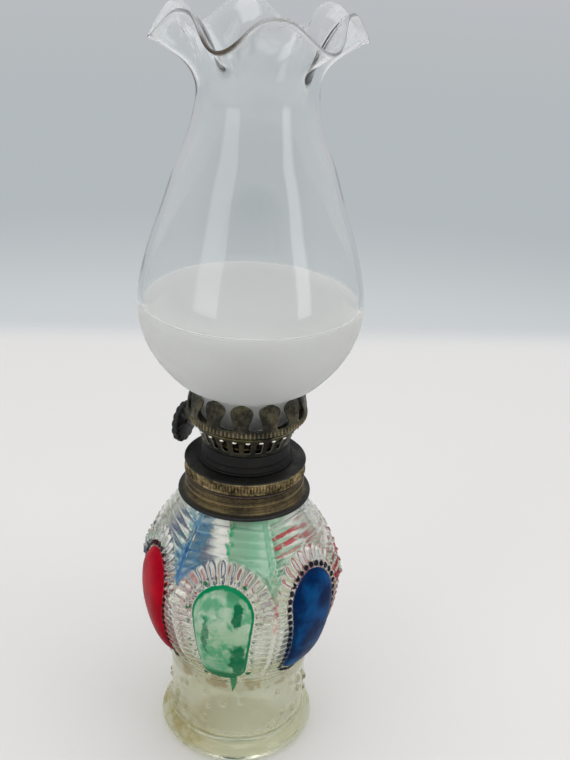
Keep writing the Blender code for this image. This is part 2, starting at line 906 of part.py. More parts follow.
fitter = (fitter_radius, chimney_z + fitter_rise)
tips = (prong_tip_radius - sheet - rest_gap - 0.1 * mm, crown_top_z)
bulge = (bulge_radius, chimney_z + bulge_height)
throat = (throat_radius, chimney_z + throat_height)
rim = (rim_radius, rim_z)
chimney_side = [
    (fitter_radius, chimney_z),
    fitter,
    tips,
    *between(tips, bulge, [(0.34, 0.12), (0.73, 0.41), (0.94, 0.7)]),
    bulge,
    *between(bulge, throat, [(0.05, 0.12), (0.2, 0.29), (0.43, 0.48), (0.66, 0.68), (0.88, 0.84)]),
    throat,
    *between(throat, rim, [(0.03, 0.32), (0.29, 0.66), (0.71, 0.91)]),
    rim,
]
placed(
    "chimney",
    spun(
        chimney_side
        + [(radius - chimney_wall, height) for radius, height in reversed(chimney_side)],
        chimney_steps,
        shape=crimped,
    ),
    material("chimney_glass", (0.95, 0.97, 0.96), 0.05, transmission=1.0),
)
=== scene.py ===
import json
import math
import bmesh
import bpy
from mathutils import Matrix, Vector


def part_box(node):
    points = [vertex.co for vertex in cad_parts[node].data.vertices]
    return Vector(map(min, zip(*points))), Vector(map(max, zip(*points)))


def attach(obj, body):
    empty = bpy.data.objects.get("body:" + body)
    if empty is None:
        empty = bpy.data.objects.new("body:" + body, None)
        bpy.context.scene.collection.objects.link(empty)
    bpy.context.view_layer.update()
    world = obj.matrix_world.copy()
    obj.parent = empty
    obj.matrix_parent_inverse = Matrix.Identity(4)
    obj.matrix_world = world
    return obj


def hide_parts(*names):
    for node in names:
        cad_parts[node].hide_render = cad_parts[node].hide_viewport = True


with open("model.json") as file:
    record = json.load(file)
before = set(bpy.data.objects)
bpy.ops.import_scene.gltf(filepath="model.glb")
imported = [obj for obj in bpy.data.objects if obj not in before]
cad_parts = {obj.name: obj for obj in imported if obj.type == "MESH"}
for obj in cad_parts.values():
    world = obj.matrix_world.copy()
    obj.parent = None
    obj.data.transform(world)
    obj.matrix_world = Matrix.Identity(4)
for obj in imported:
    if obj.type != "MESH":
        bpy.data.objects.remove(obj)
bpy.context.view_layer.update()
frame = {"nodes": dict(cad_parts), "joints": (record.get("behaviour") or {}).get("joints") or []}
mm = 0.001
print("frame loaded:", len(frame["nodes"]), "nodes")


def lowOf(node):
    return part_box(node)[0].z / mm      # heights in millimetres


def highOf(node):
    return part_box(node)[1].z / mm


def mathMethod(operation, reflected=False):
    def method(self, *others):
        values = (*others, self) if reflected else (self, *others)
        return self.maker.math(operation, *values)
    return method


# one socket, with arithmetic: an expression on links adds Math nodes
class Link:
    def __init__(self, maker, socket):
        self.maker = maker
        self.socket = socket

    def of(self, name):
        return Link(self.maker, self.socket.node.outputs[name])

    __add__, __radd__ = mathMethod("ADD"), mathMethod("ADD", reflected=True)
    __sub__, __rsub__ = mathMethod("SUBTRACT"), mathMethod("SUBTRACT", reflected=True)
    __mul__, __rmul__ = mathMethod("MULTIPLY"), mathMethod("MULTIPLY", reflected=True)
    __truediv__, __rtruediv__ = mathMethod("DIVIDE"), mathMethod("DIVIDE", reflected=True)
    __pow__, __mod__ = mathMethod("POWER"), mathMethod("FLOORED_MODULO")
    __gt__, __lt__ = mathMethod("GREATER_THAN"), mathMethod("LESS_THAN")
    __abs__, floor = mathMethod("ABSOLUTE"), mathMethod("FLOOR")
    sine, cosine = mathMethod("SINE"), mathMethod("COSINE")
    atLeast, atMost = mathMethod("MAXIMUM"), mathMethod("MINIMUM")

    def __neg__(self):
        return self * -1.0

    def root(self):
        return self.maker.math("SQRT", self.atLeast(0.0))

    def ramp(self, low, high):
        return self.maker.add(
            "ShaderNodeMapRange", {"interpolation_type": "SMOOTHSTEP"},
            {"Value": self, "From Min": low, "From Max": high},
        )

    def window(self, start, full, fading, end):
        return self.ramp(start, full) * self.ramp(end, fading)


# builds the nodes of one tree, for a material or for geometry
class Maker:
    def __init__(self, tree):
        self.tree = tree

    def add(self, kind, settings=None, values=None, out=0):
        made = self.tree.nodes.new(kind)
        for name, value in (settings or {}).items():
            setattr(made, name, value)
        for key, value in (values or {}).items():
            if isinstance(value, Link):
                self.tree.links.new(value.socket, made.inputs[key])
            else:
                made.inputs[key].default_value = value
        return Link(self, made.outputs[out])

    def math(self, operation, *values):
        return self.add("ShaderNodeMath", {"operation": operation}, dict(enumerate(values)))

    def mix(self, factor, first, second):
        values = {0: factor, 6: self.colour(first), 7: self.colour(second)}
        return self.add("ShaderNodeMix", {"data_type": "RGBA"}, values, out=2)

    def colour(self, value):
        return value if isinstance(value, Link) else (*value, 1.0)

    def scaled(self, vector, amount):
        return self.add("ShaderNodeVectorMath", {"operation": "SCALE"}, {"Vector": vector, "Scale": amount})

    def vector(self, x=0.0, y=0.0, z=0.0):
        return self.add("ShaderNodeCombineXYZ", {}, {0: x, 1: y, 2: z})

    def around(self, radius, azimuth, height):
        return self.vector(radius * azimuth.sine(), -radius * azimuth.cosine(), height)

    def attribute(self, name):
        return self.add("ShaderNodeAttribute", {"attribute_name": name}, out="Fac")

    def noise(self, place, scale, detail=3.0, roughness=0.55):
        return self.add(
            "ShaderNodeTexNoise", {},
            {"Vector": place, "Scale": scale, "Detail": detail, "Roughness": roughness},
        )

    def over(self, factor, under, above):
        return self.add("ShaderNodeMixShader", {}, {0: factor, 1: under, 2: above})

    def glowing(self, shader, colour, share):
        return self.over(share, shader, self.add("ShaderNodeBsdfTranslucent", {}, {"Color": colour}))


# materials
def newMaterial(name):
    made = bpy.data.materials.new(name)
    made.use_nodes = True
    made.node_tree.nodes.clear()
    return made, Maker(made.node_tree)


def place(maker):
    return maker.add("ShaderNodeTexCoord", out="Object")


def principled(maker, values):
    return maker.add("ShaderNodeBsdfPrincipled", {}, values)


def bump(maker, height, distance, strength=1.0):
    return maker.add("ShaderNodeBump", {}, {"Height": height, "Distance": distance, "Strength": strength})


def output(maker, shader, volume=None):
    made = maker.tree.nodes.new("ShaderNodeOutputMaterial")
    maker.tree.links.new(shader.socket, made.inputs["Surface"])
    if volume:
        maker.tree.links.new(volume.socket, made.inputs["Volume"])


def lightThrough(maker, shader, tint):
    shadow = maker.add("ShaderNodeLightPath", out="Is Shadow Ray")
    clear = maker.add("ShaderNodeBsdfTransparent", {}, {"Color": (*tint, 1.0)})
    return maker.over(shadow, shader, clear)


def azimuthOf(maker, where):
    parts = maker.add("ShaderNodeSeparateXYZ", {}, {0: where})
    return maker.math("ARCTAN2", parts, -parts.of("Y")), parts.of("Z")


def metalGrain(m, where, look, blotchScale=None, grainScale=None):
    broad = m.noise(where, blotchScale or look["blotchScale"], 5.0, 0.6)
    fine = m.noise(where, grainScale or look["grainScale"], 4.0, 0.7)
    return broad, fine


def agedMetal(name, look):
    # where a look asks for it, the faces that a cutter made are painted bright: bare metal, and a painted
    # highlight for the light their edges catch
    made, m = newMaterial(name)
    where = place(m)
    broad, fine = metalGrain(m, where, look)
    wear = (broad * 0.65 + fine * 0.35).ramp(look["wearLow"], look["wearHigh"])
    colour = m.mix(wear, look["dark"], look["bright"])
    rough = look["smooth"] + (1 - wear) * look["roughMore"]
    if "bareGlint" in look:
        bareGlint = m.attribute("cut")
        lip = (m.add("ShaderNodeSeparateXYZ", {}, {0: where}, out="Z") / mm).window(*look["lipHeights"])
        colour = m.mix(lip * wear, colour, look["lip"])
        # cut faces brightened: partly bare metal, partly a painted highlight
        colour = m.mix(bareGlint * look["bareGlint"], colour, look["bareGlintColour"])
        rough = rough - bareGlint * 0.12
    else:
        speck = m.noise(where, look["grainScale"] * 2.3, 2.0, 0.5).ramp(0.58, 0.7)
        colour = m.mix(speck * look["speckle"], colour, look["speckColour"])
    shader = principled(m, {
        "Base Color": colour, "Roughness": rough, "Metallic": look["metal"] + wear * (1 - look["metal"]),
        "Normal": bump(m, fine + broad * 0.5, look["pitDepth"], 0.6),
    })
    output(m, shader)
    return made


agedBrassLook = {
    "blotchScale": 160.0, "grainScale": 1100.0, "wearLow": 0.38, "wearHigh": 0.66,
    "dark": (0.035, 0.028, 0.014), "bright": (0.24, 0.18, 0.085), "speckle": 0.5,
    "speckColour": (0.02, 0.018, 0.012), "smooth": 0.34, "roughMore": 0.28, "metal": 0.75,
    "pitDepth": 0.00006,
}
darkBrassLook = dict(agedBrassLook, dark=(0.018, 0.018, 0.014), bright=(0.13, 0.115, 0.07), wearLow=0.42)
patinaLook = dict(
    agedBrassLook, dark=(0.008, 0.008, 0.008), bright=(0.04, 0.037, 0.03), wearLow=0.45, wearHigh=0.8,
    smooth=0.38, metal=0.5, speckle=0.3, speckColour=(0.05, 0.045, 0.03),
)
steelLook = dict(
    agedBrassLook, dark=(0.08, 0.075, 0.065), bright=(0.42, 0.4, 0.36), smooth=0.3,
    speckColour=(0.09, 0.04, 0.02),
)
agedBrass = agedMetal("agedBrass", agedBrassLook)
darkBrass = agedMetal("darkBrass", darkBrassLook)
blackPatina = agedMetal("blackPatina", patinaLook)
wornSteel = agedMetal("wornSteel", steelLook)
knobLook = dict(
    patinaLook, dark=(0.004, 0.006, 0.006), bright=(0.014, 0.017, 0.017), metal=0.0, smooth=0.3,
    speckColour=(0.02, 0.018, 0.014),
)
blackLacquer = agedMetal("blackLacquer", knobLook)


def plainSurface(name, look):
    made, m = newMaterial(name)
    where = place(m)
    grain = m.noise(where, look["scale"], 6.0, 0.7)
    colour = m.mix(grain.ramp(0.3, 0.7), look["first"], look["second"])
    shader = principled(m, {
        "Base Color": colour, "Roughness": look["rough"] + grain * 0.12,
        "Normal": bump(m, grain, look["depth"], 0.8),
    })
    output(m, shader)
    return made


washerFibre = plainSurface("washerFibre", {
    "first": (0.02, 0.015, 0.012), "second": (0.09, 0.06, 0.04), "scale": 1800.0, "rough": 0.75,
    "depth": 0.0001,
})
collarPlaster = plainSurface("collarPlaster", {
    "first": (0.5, 0.46, 0.38), "second": (0.78, 0.75, 0.68), "scale": 700.0, "rough": 0.8,
    "depth": 0.00015,
})

wickLook = {"threads": 14.0, "pitch": 0.00055, "first": (0.74, 0.71, 0.6), "second": (0.93, 0.91, 0.85)}


def wickMaterial(look):
    made, m = newMaterial("wickCotton")
    along = m.add("ShaderNodeUVMap", {"uv_map": "weave"})
    parts = m.add("ShaderNodeSeparateXYZ", {}, {0: along})
    warp = (parts * (look["threads"] * math.pi)).sine()
    weft = (parts.of("Y") * (math.pi / look["pitch"])).sine()
    weave = abs(warp) * 0.5 + abs(weft) * 0.5
    fuzz = m.noise(place(m), 2600.0, 3.0)
    colour = m.mix(weave * 0.7 + fuzz * 0.3, look["first"], look["second"])
    shader = principled(m, {
        "Base Color": colour, "Roughness": 0.9, "Normal": bump(m, weave + fuzz * 0.3, 0.0002, 0.8),
    })
    output(m, m.glowing(shader, colour, 0.35))
    return made


wickCotton = wickMaterial(wickLook)


# shapes: an outline in (radius, height), in millimetres, turned round Z by geometry nodes
def smoothLine(points, steps):
    ends = [points[0], *points, points[-1]]
    found = [points[0]]
    for i in range(1, len(ends) - 2):
        for step in range(1, steps + 1):
            t = step / steps
            found.append(tuple(
                b + 0.5 * ((c - a) * t + (2 * a - 5 * b + 4 * c - d) * t**2 + (3 * b - a - 3 * c + d) * t**3)
                for a, b, c, d in zip(ends[i - 1], ends[i], ends[i + 1], ends[i + 2])
            ))
    return found


def respaced(points, gap):
    # the same line with points an even distance apart
    lengths = [0.0]
    for a, b in zip(points, points[1:]):
        lengths.append(lengths[-1] + math.dist(a, b))
    count = max(1, round(lengths[-1] / gap))
    found, at = [], 0
    for i in range(count + 1):
        wanted = lengths[-1] * i / count
        while at < len(points) - 2 and lengths[at + 1] < wanted:
            at += 1
        share = (wanted - lengths[at]) / max(lengths[at + 1] - lengths[at], 1e-9)
        found.append(tuple(a + share * (b - a) for a, b in zip(points[at], points[at + 1])))
    return found


def placed(name, data):
    made = bpy.data.objects.new(name, data)
    bpy.context.scene.collection.objects.link(made)
    return made


def outlineMesh(name, outline, outside):
    mesh = bpy.data.meshes.new(name)
    edges = [(i, i + 1) for i in range(len(outline) - 1)]
    mesh.from_pydata([(radius, 0.0, height) for radius, height in outline], edges, [])
    flag = mesh.attributes.new("outside", "FLOAT", "POINT")
    flag.data.foreach_set("value", outside)
    return mesh


def newTree(name, sizes):
    tree = bpy.data.node_groups.new(name, "GeometryNodeTree")
    tree.interface.new_socket("Geometry", in_out="INPUT", socket_type="NodeSocketGeometry")
    for key, value in sizes.items():
        kind = "NodeSocketInt" if isinstance(value, int) else "NodeSocketFloat"
        tree.interface.new_socket(key, in_out="INPUT", socket_type=kind)
    tree.interface.new_socket("Geometry", in_out="OUTPUT", socket_type="NodeSocketGeometry")
    g = Maker(tree)
    start = g.add("NodeGroupInput", {}, {}, out="Geometry")
    return tree, g, start, {key: start.of(key) for key in sizes}


def closeTree(g, geometry, material):
    real = g.add("GeometryNodeRealizeInstances", {}, {"Geometry": geometry})
    done = g.add("GeometryNodeSetMaterial", {}, {"Geometry": real, "Material": material})
    end = g.tree.nodes.new("NodeGroupOutput")
    g.tree.links.new(done.socket, end.inputs[0])


def evaluated(name, mesh, tree, sizes):
    # runs a tree on a mesh, and gives the object that holds the outcome
    source = placed(name, mesh)
    modifier = source.modifiers.new("build", "NODES")
    modifier.node_group = tree
    for item in tree.interface.items_tree:
        if item.in_out == "INPUT" and item.name in sizes:
            modifier[item.identifier] = sizes[item.name]
    graph = bpy.context.evaluated_depsgraph_get()
    made = bpy.data.meshes.new_from_object(source.evaluated_get(graph))
    source.modifiers.clear()
    source.data = made
    return source


def faceOutward(mesh):
    bm = bmesh.new()
    bm.from_mesh(mesh)
    bmesh.ops.remove_doubles(bm, verts=bm.verts, dist=1e-7)
    bmesh.ops.recalc_face_normals(bm, faces=bm.faces)
    if bm.calc_volume(signed=True) < 0:
        bmesh.ops.reverse_faces(bm, faces=bm.faces)
    bm.to_mesh(mesh)
    bm.free()


def finished(piece, body, replaced, sharp=40):
    mesh = piece.data
    faceOutward(mesh)
    mesh.shade_smooth()
    if sharp:
        mesh.set_sharp_from_angle(angle=math.radians(sharp))
    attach(piece, body)
    if replaced:
        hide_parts(*replaced)
    triangles = sum(len(face.vertices) - 2 for face in mesh.polygons)
    print("piece", piece.name, "on", body, "-", triangles, "triangles")
    return piece


def turnedTree(name, sizes, rule, material):
    tree, g, outline, size = newTree(name, sizes)
    rows = g.add("GeometryNodeAttributeDomainSize", {"component": "MESH"}, {0: outline}, out="Point Count")
    grid = g.add(
        "GeometryNodeMeshGrid", {},
        {"Size X": 1.0, "Size Y": 1.0, "Vertices X": size["steps"] + 1, "Vertices Y": rows},
    )
    index = g.add("GeometryNodeInputIndex")
    row = index % rows
    where = g.add("GeometryNodeInputPosition")
    spot = g.add(
        "GeometryNodeSampleIndex", {"data_type": "FLOAT_VECTOR"},
        {"Geometry": outline, "Value": where, "Index": row},
    )
    flag = g.add("GeometryNodeInputNamedAttribute", {"data_type": "FLOAT"}, {"Name": "outside"})
    outside = g.add(
        "GeometryNodeSampleIndex", {"data_type": "FLOAT"},
        {"Geometry": outline, "Value": flag, "Index": row},
    )
    parts = g.add("ShaderNodeSeparateXYZ", {}, {0: spot})
    azimuth = (index / rows).floor() / size["steps"] * (2 * math.pi)
    radius, height, kept = rule(g, parts, parts.of("Z"), azimuth, outside, size)
    geometry = grid
    for key, value in kept.items():
        geometry = g.add(
            "GeometryNodeStoreNamedAttribute", {"data_type": "FLOAT", "domain": "POINT"},
            {"Geometry": geometry, "Name": key, "Value": value},
        )
    spread = g.scaled(g.around(radius, azimuth, height), mm)
    geometry = g.add("GeometryNodeSetPosition", {}, {"Geometry": geometry, "Position": spread})
    geometry = g.add("GeometryNodeMergeByDistance", {}, {"Geometry": geometry, "Distance": 2e-7})
    closeTree(g, geometry, material)
    return tree


def plainRule(g, radius, height, azimuth, outside, size):
    return radius, height, {}


def turned(name, outline, steps, material, rule=plainRule, sizes=None, outside=None):
    given = {"steps": steps, **(sizes or {})}
    mesh = outlineMesh(name, outline, outside or [1.0] * len(outline))
    return evaluated(name, mesh, turnedTree(name + "Shape", given, rule, material), given)


# the font: a pressed-glass bottle with six panels, each with a raised oval
fontSize = {
    "footRadius": 21.7, "footRise": 6.2, "waistRadius": 19.2, "waistRise": 17.6, "bandRise": 4.6,
    "bellyRadius": 27.2, "bellyRise": 22.4, "shoulderRise": 25.4, "shoulderRadius": 16.6,
    "neckRadius": 13.1, "wall": 2.6, "base": 4.0, "mouthRadius": 10.4,
    "bodyRow": 0.42, "waistRow": 0.7, "innerRow": 4.2, "steps": 468,
}
fontLow = lowOf("glass_font")
neckZ = highOf("glass_font")
waistZ = fontLow + fontSize["footRise"] + fontSize["waistRise"]
bodyZ = waistZ + fontSize["bandRise"]
bellyZ = bodyZ + fontSize["bellyRise"]
shoulderZ = bellyZ + fontSize["shoulderRise"]


def fontOutline(size):
    foot = size["footRadius"]
    low = [
        (0.0, fontLow + 0.9), (foot - 6.0, fontLow + 0.9), (foot - 4.6, fontLow + 0.1),
        (foot - 2.6, fontLow), (foot - 1.2, fontLow + 0.5), (foot - 0.2, fontLow + 1.8),
        (foot, fontLow + 3.0), (foot - 0.5, fontLow + 4.3), (foot - 1.6, fontLow + 5.3),
        (foot - 2.3, fontLow + 5.8), (size["waistRadius"] - 0.05, fontLow + 6.4),
    ]
    waist = [
        (size["waistRadius"] - 0.05, fontLow + 6.4), (size["waistRadius"] - 0.25, fontLow + 9.0),
        (size["waistRadius"] - 0.3, fontLow + 15.0), (size["waistRadius"] - 0.1, waistZ - 2.0),
        (size["waistRadius"] + 0.1, waistZ),
    ]
    band = [(size["waistRadius"] + 0.1, waistZ), (size["waistRadius"] + 0.1, bodyZ)]
    body = smoothLine([
        (size["waistRadius"], bodyZ),
        (size["bellyRadius"] - 3.0, bodyZ + 0.4 * size["bellyRise"]),
        (size["bellyRadius"], bellyZ),
        (size["bellyRadius"] - 2.6, bellyZ + 0.5 * size["shoulderRise"]),
        (size["shoulderRadius"], shoulderZ),
    ], 12)
    outer = (
        low[:2] + respaced(smoothLine(low[1:], 5), size["waistRow"])[1:]
        + respaced(waist, 0.6)[1:] + respaced(band, 0.3)[1:] + respaced(body, size["bodyRow"])[1:]
    )
    neck = [(size["neckRadius"], shoulderZ), (size["neckRadius"], neckZ), (size["mouthRadius"], neckZ)]
    inner = [
        (radius - size["wall"], height) for radius, height in reversed(body)
        if size["mouthRadius"] < radius - size["wall"]
    ]
    inner = [(size["mouthRadius"], neckZ), (size["mouthRadius"], shoulderZ - size["wall"])] + inner
    inner = respaced(inner, size["innerRow"])
    floorRadius = size["waistRadius"] - size["wall"]
    inner += [
        (floorRadius, bodyZ - 8.0), (floorRadius, fontLow + 12.0), (floorRadius, fontLow + 7.5),
        (floorRadius - 1.2, fontLow + 5.0), (floorRadius - 3.4, fontLow + size["base"]),
        (0.0, fontLow + size["base"]),
    ]
    return outer + neck + inner[1:], [1.0] * len(outer) + [0.0] * (len(neck) + len(inner) - 1)


panelHalf = math.pi / 6
reliefSize = {
    "panelTurn": math.radians(-10), "jewelRadius": 8.2, "jewelFoot": 4.7, "jewelHeight": 1.7,
    "jewelCorner": 4.1, "jewelZ": shoulderZ - 15.2 - 8.2, "ovalBottom": bodyZ + 0.5,
    "beadPitch": 2.05, "beadOut": 1.15, "beadRadius": 0.85, "beadHeight": 0.75,
    "raysOverTop": 14.0, "rayStart": 2.0, "rayEnd": 5.9, "rayHeight": 1.25, "raySlope": 1.7,
    "rayFill": 0.92, "ribHeight": 0.7, "ribHalf": 0.86, "shoulderPitch": 2.0, "shoulderHeight": 0.7,
    "seamHeight": 0.15, "seamHalf": 0.6, "ringPitch": 1.0, "ringHeight": 0.22, "sink": 0.45,
    "bumpSpacing": 4.6, "bumpRadius": 1.15, "bumpHeight": 0.95, "waver": 0.1, "fineWaver": 0.05,
    "flatness": 0.75,
}


def fontRule(g, radius, height, azimuth, outside, size):
    onBody = (height > bodyZ - 0.01) * outside
    offset = (azimuth - size["panelTurn"] + panelHalf) % (2 * panelHalf) - panelHalf
    flatness = size["flatness"] * height.ramp(bodyZ, shoulderZ) * height.ramp(bodyZ, bellyZ)
    radius = radius * (1 + onBody * flatness * (math.cos(panelHalf) / offset.cosine() - 1))
    across = abs(radius * offset.sine())
    up = height - size["jewelZ"]
    isTop = up > 0.0
    fromCentre = (across * across + up * up).root()
    share = ((height - bodyZ) / (size["jewelZ"] - bodyZ)).atLeast(0.0).atMost(1.0)
    halfWide = size["jewelFoot"] + (size["jewelRadius"] - size["jewelFoot"]) * share ** 0.72
    sideIn = (size["jewelCorner"] - (halfWide - across)).atLeast(0.0)
    lowIn = (size["jewelCorner"] - (height - size["ovalBottom"])).atLeast(0.0)
    lowInset = size["jewelCorner"] - (sideIn * sideIn + lowIn * lowIn).root()
    inset = isTop * (size["jewelRadius"] - fromCentre) + (1 - isTop) * lowInset
    rise = (inset / size["jewelCorner"]).atLeast(0.0).atMost(1.0)
    dome = size["jewelHeight"] * (1 - (1 - rise) * (1 - rise)).root()
    outward = -inset
    turn = g.math("ARCTAN2", up, across) / math.pi * size["raysOverTop"]
    phase = isTop * turn + (1 - isTop) * (-up / size["beadPitch"])
    pitch = isTop * ((size["jewelRadius"] + outward) * math.pi / size["raysOverTop"])
    pitch = pitch + (1 - isTop) * size["beadPitch"]
    beside = abs((phase % 1.0 - 0.5) * pitch)
    overBead = outward - size["beadOut"]
    beadNear = (beside * beside + overBead * overBead).root() / size["beadRadius"]
    bead = size["beadHeight"] * (1 - beadNear * beadNear).root()
    rayWide = ((outward - size["rayStart"]) / 0.7).atMost((size["rayEnd"] - outward) / 0.9)
    rayWide = rayWide.atMost(1.0) * size["rayFill"]
    inRay = rayWide > 0.02
    ray = size["raySlope"] * (1 - beside / rayWide.atLeast(0.02))
    ray = ray.atLeast(0.0).atMost(1.0) * inRay * isTop
    seamNear = radius * (panelHalf - abs(offset))
    fromRib = beside / size["ribHalf"]
    rib = (1 - fromRib * fromRib).root() * outward.ramp(1.7, 2.3) * (1 - isTop)
    rib = rib * seamNear.ramp(0.5, 1.0) * height.ramp(bodyZ + 0.8, bodyZ + 1.8)
    level = abs(((shoulderZ - 0.4 - height) / size["shoulderPitch"]) % 1.0 - 0.5) * 2
    onShoulder = outward.ramp(size["rayEnd"] + 0.1, size["rayEnd"] + 0.6) * (up > 0.0)
    bar = (1 - level ** 4.0) * onShoulder * height.ramp(shoulderZ + 0.2, shoulderZ - 0.8)
    bar = bar * seamNear.ramp(0.3, 0.9)
    fromSeam = seamNear / size["seamHalf"]
    seam = (1 - fromSeam * fromSeam).atLeast(0.0) * height.ramp(bodyZ + 6, bodyZ + 9)
    relief = dome + bead + size["rayHeight"] * ray + size["ribHeight"] * rib
    relief = relief + size["shoulderHeight"] * bar + size["seamHeight"] * seam
    relief = relief - size["sink"] * height.ramp(bodyZ, bodyZ + 3)
    ring = ((height - bodyZ) * (2 * math.pi / size["ringPitch"])).sine() * size["ringHeight"]
    ring = ring * height.window(bodyZ - 1.6, bodyZ - 1.2, bodyZ + 1.1, bodyZ + 1.6)
    spread = g.around(radius, azimuth, height)
    cells = g.add(
        "ShaderNodeTexVoronoi", {}, {"Vector": spread, "Scale": 1 / size["bumpSpacing"], "Randomness": 0.75}
    )
    near = cells * size["bumpSpacing"] / size["bumpRadius"]
    pimple = size["bumpHeight"] * (1 - near * near).root()
    pimple = pimple * height.window(fontLow + 7.0, fontLow + 8.5, waistZ - 1.5, waistZ + 1)
    waver = (g.noise(spread, 0.16, 2.0) - 0.5) * size["waver"]
    waver = waver + (g.noise(spread, 0.6, 1.0) - 0.5) * size["fineWaver"]
    radius = radius + onBody * relief + outside * (pimple + ring + waver * height.ramp(fontLow, fontLow + 4))
    kept = {"inset": inset, "beadNear": beadNear, "ray": ray, "bar": bar, "skin": outside}
    return radius, height, kept


# enamel, stains, painted refraction, and where they lie
paintSize = {
    "red": (0.72, 0.0, 0.022), "redDark": (0.2, 0.002, 0.02), "redBead": (0.03, 0.003, 0.006),
    "blue": (0.0, 0.11, 0.36), "blueDark": (0.0, 0.024, 0.11), "blueBead": (0.004, 0.006, 0.02),
    "green": (0.0, 0.42, 0.17), "greenDark": (0.0, 0.2, 0.08), "greenPale": (0.38, 0.8, 0.52),
    # the shoulder colours below are painted refraction: the far ovals seen through the shoulder
    "greenLine": (0.0, 0.33, 0.13), "refractedGreen": (0.3, 0.76, 0.5), "refractedBlue": (0.08, 0.32, 0.68),
    "refractedDeep": (0.01, 0.13, 0.42), "refractedEdge": (0.01, 0.5, 0.2), "refractedRed": (0.66, 0.01, 0.04),
    "seamRed": (0.8, 0.1, 0.14), "stain": (0.6, 0.46, 0.18), "dirt": (0.42, 0.26, 0.1),
    "rough": 0.16, "roughMore": 0.14, "specular": 0.09, "glow": 0.5,
}
# dark patches in the green oval: place across and up, half width, half height (mm), share
darkPatches = [(3.6, 1.5, 1.3, 5.6, 1.0), (-3.9, -6.5, 0.9, 6.5, 0.8), (4.4, -14.5, 2.4, 8.5, 1.0)]
# degrees round the font where each painted refraction of a far oval, and the red tint on the seam, starts, is
# full, fades and ends
tintSpans = {
    "blue": (-62.0, -56.0, -29.0, -25.0), "green": (-12.0, -9.0, 20.0, 27.0),
    "edge": (-13.0, -11.0, -8.0, -5.0), "red": (22.0, 25.0, 48.0, 56.0), "seam": (10.0, 14.0, 22.0, 26.0),
}
# red bands along the shoulder's bars, painted refraction of the far red oval
redRefractionBands = [(2.0, 0.3, 1.0), (3.0, 0.34, 1.0), (4.1, 0.2, 0.8)]      # bar, half width, share
glassSize = {
    "tint": (0.985, 0.99, 0.97), "ior": 1.5, "depthTint": (0.82, 0.86, 0.62), "density": 45.0,
    # the blue and green glass tints are painted refraction of the far ovals
    "shadowTint": (0.93, 0.94, 0.9), "lowTint": (0.9, 0.88, 0.79), "refractedBlueTint": (0.3, 0.6, 0.92),
    "refractedGreenTint": (0.55, 0.9, 0.7), "smooth": 0.02, "innerRough": 0.22,
}


def jewelColour(m, paint, where, across, up, panel, inset, ragged, worn, broad):
    # gives the ovals' colour, how much covers the glass, and which oval is the green one
    torn = (m.noise(where, 330.0, 4.0, 0.65) - 0.5) * 5.0
    tornUp = (m.noise(m.scaled(where, 1.7), 170.0, 4.0, 0.65) - 0.5) * 9.0
    isBlue = (panel > 0.5) * (panel < 1.5)
    isRed = panel > 1.5
    isGreen = 1 - isBlue - isRed
    edge = (inset + ragged * 0.25).ramp(-0.2, 0.05)                  # 1 inside the oval
    rim = edge * (inset + ragged * 0.9).ramp(0.95, 0.55)             # the outline's wider line
    darkened = (up + ragged * 2).ramp(-17.5, -20.0)
    for x, y, wide, high, share in darkPatches:
        side, rise = (across + torn - x) / wide, (up + tornUp - y) / high
        darkened = darkened.atLeast((1 - side * side - rise * rise).ramp(0.0, 0.6) * share)
    darkened = darkened.atLeast((up + across * 0.25 + ragged * 2).ramp(5.0, 7.0) * 0.45)
    mottle = (worn * 0.6 + broad * 0.4).ramp(0.44, 0.58)
    green = m.mix(mottle * 0.75, paint["greenPale"], paint["green"])
    green = m.mix(darkened * 0.9, green, paint["greenDark"])
    green = m.mix(rim, green, paint["greenLine"])
    shade = broad.ramp(0.35, 0.7)
    blue = m.mix(shade, paint["blueDark"], paint["blue"])
    blue = m.mix(rim * 0.6, blue, paint["blueDark"])
    red = m.mix(shade * 0.4 + 0.6, paint["redDark"], paint["red"])
    red = m.mix((up + ragged).ramp(-10.0, -16.0) * 0.5, red, paint["redDark"])
    colour = m.mix(isBlue, m.mix(isRed, green, red), blue)
    onBead = m.attribute("beadNear").ramp(1.02, 0.86) * (1 - edge)
    bead = m.mix(isBlue, m.mix(isRed, paint["greenDark"], paint["redBead"]), paint["blueBead"])
    colour = m.mix(onBead, colour, bead)
    beadShare = isGreen * worn.ramp(0.52, 0.6) + (1 - isGreen)
    thin = isGreen * (1 - rim) * (1 - darkened) * (0.5 - mottle * 0.4)
    # the drip that runs off the green oval's foot
    dripSide, dripUp = (across + torn * 0.25 - 3.0) / (1.1 + (up + 26.0) * 0.2), (up + 25.6) / 3.6
    drip = isGreen * (1 - dripSide * dripSide - dripUp * dripUp).ramp(0.0, 0.3)
    colour = m.mix(drip * (1 - edge), colour, paint["greenLine"])
    cover = (edge * (1 - thin) + onBead * beadShare * 0.95).atLeast(drip * 0.85)
    return colour, cover, isGreen


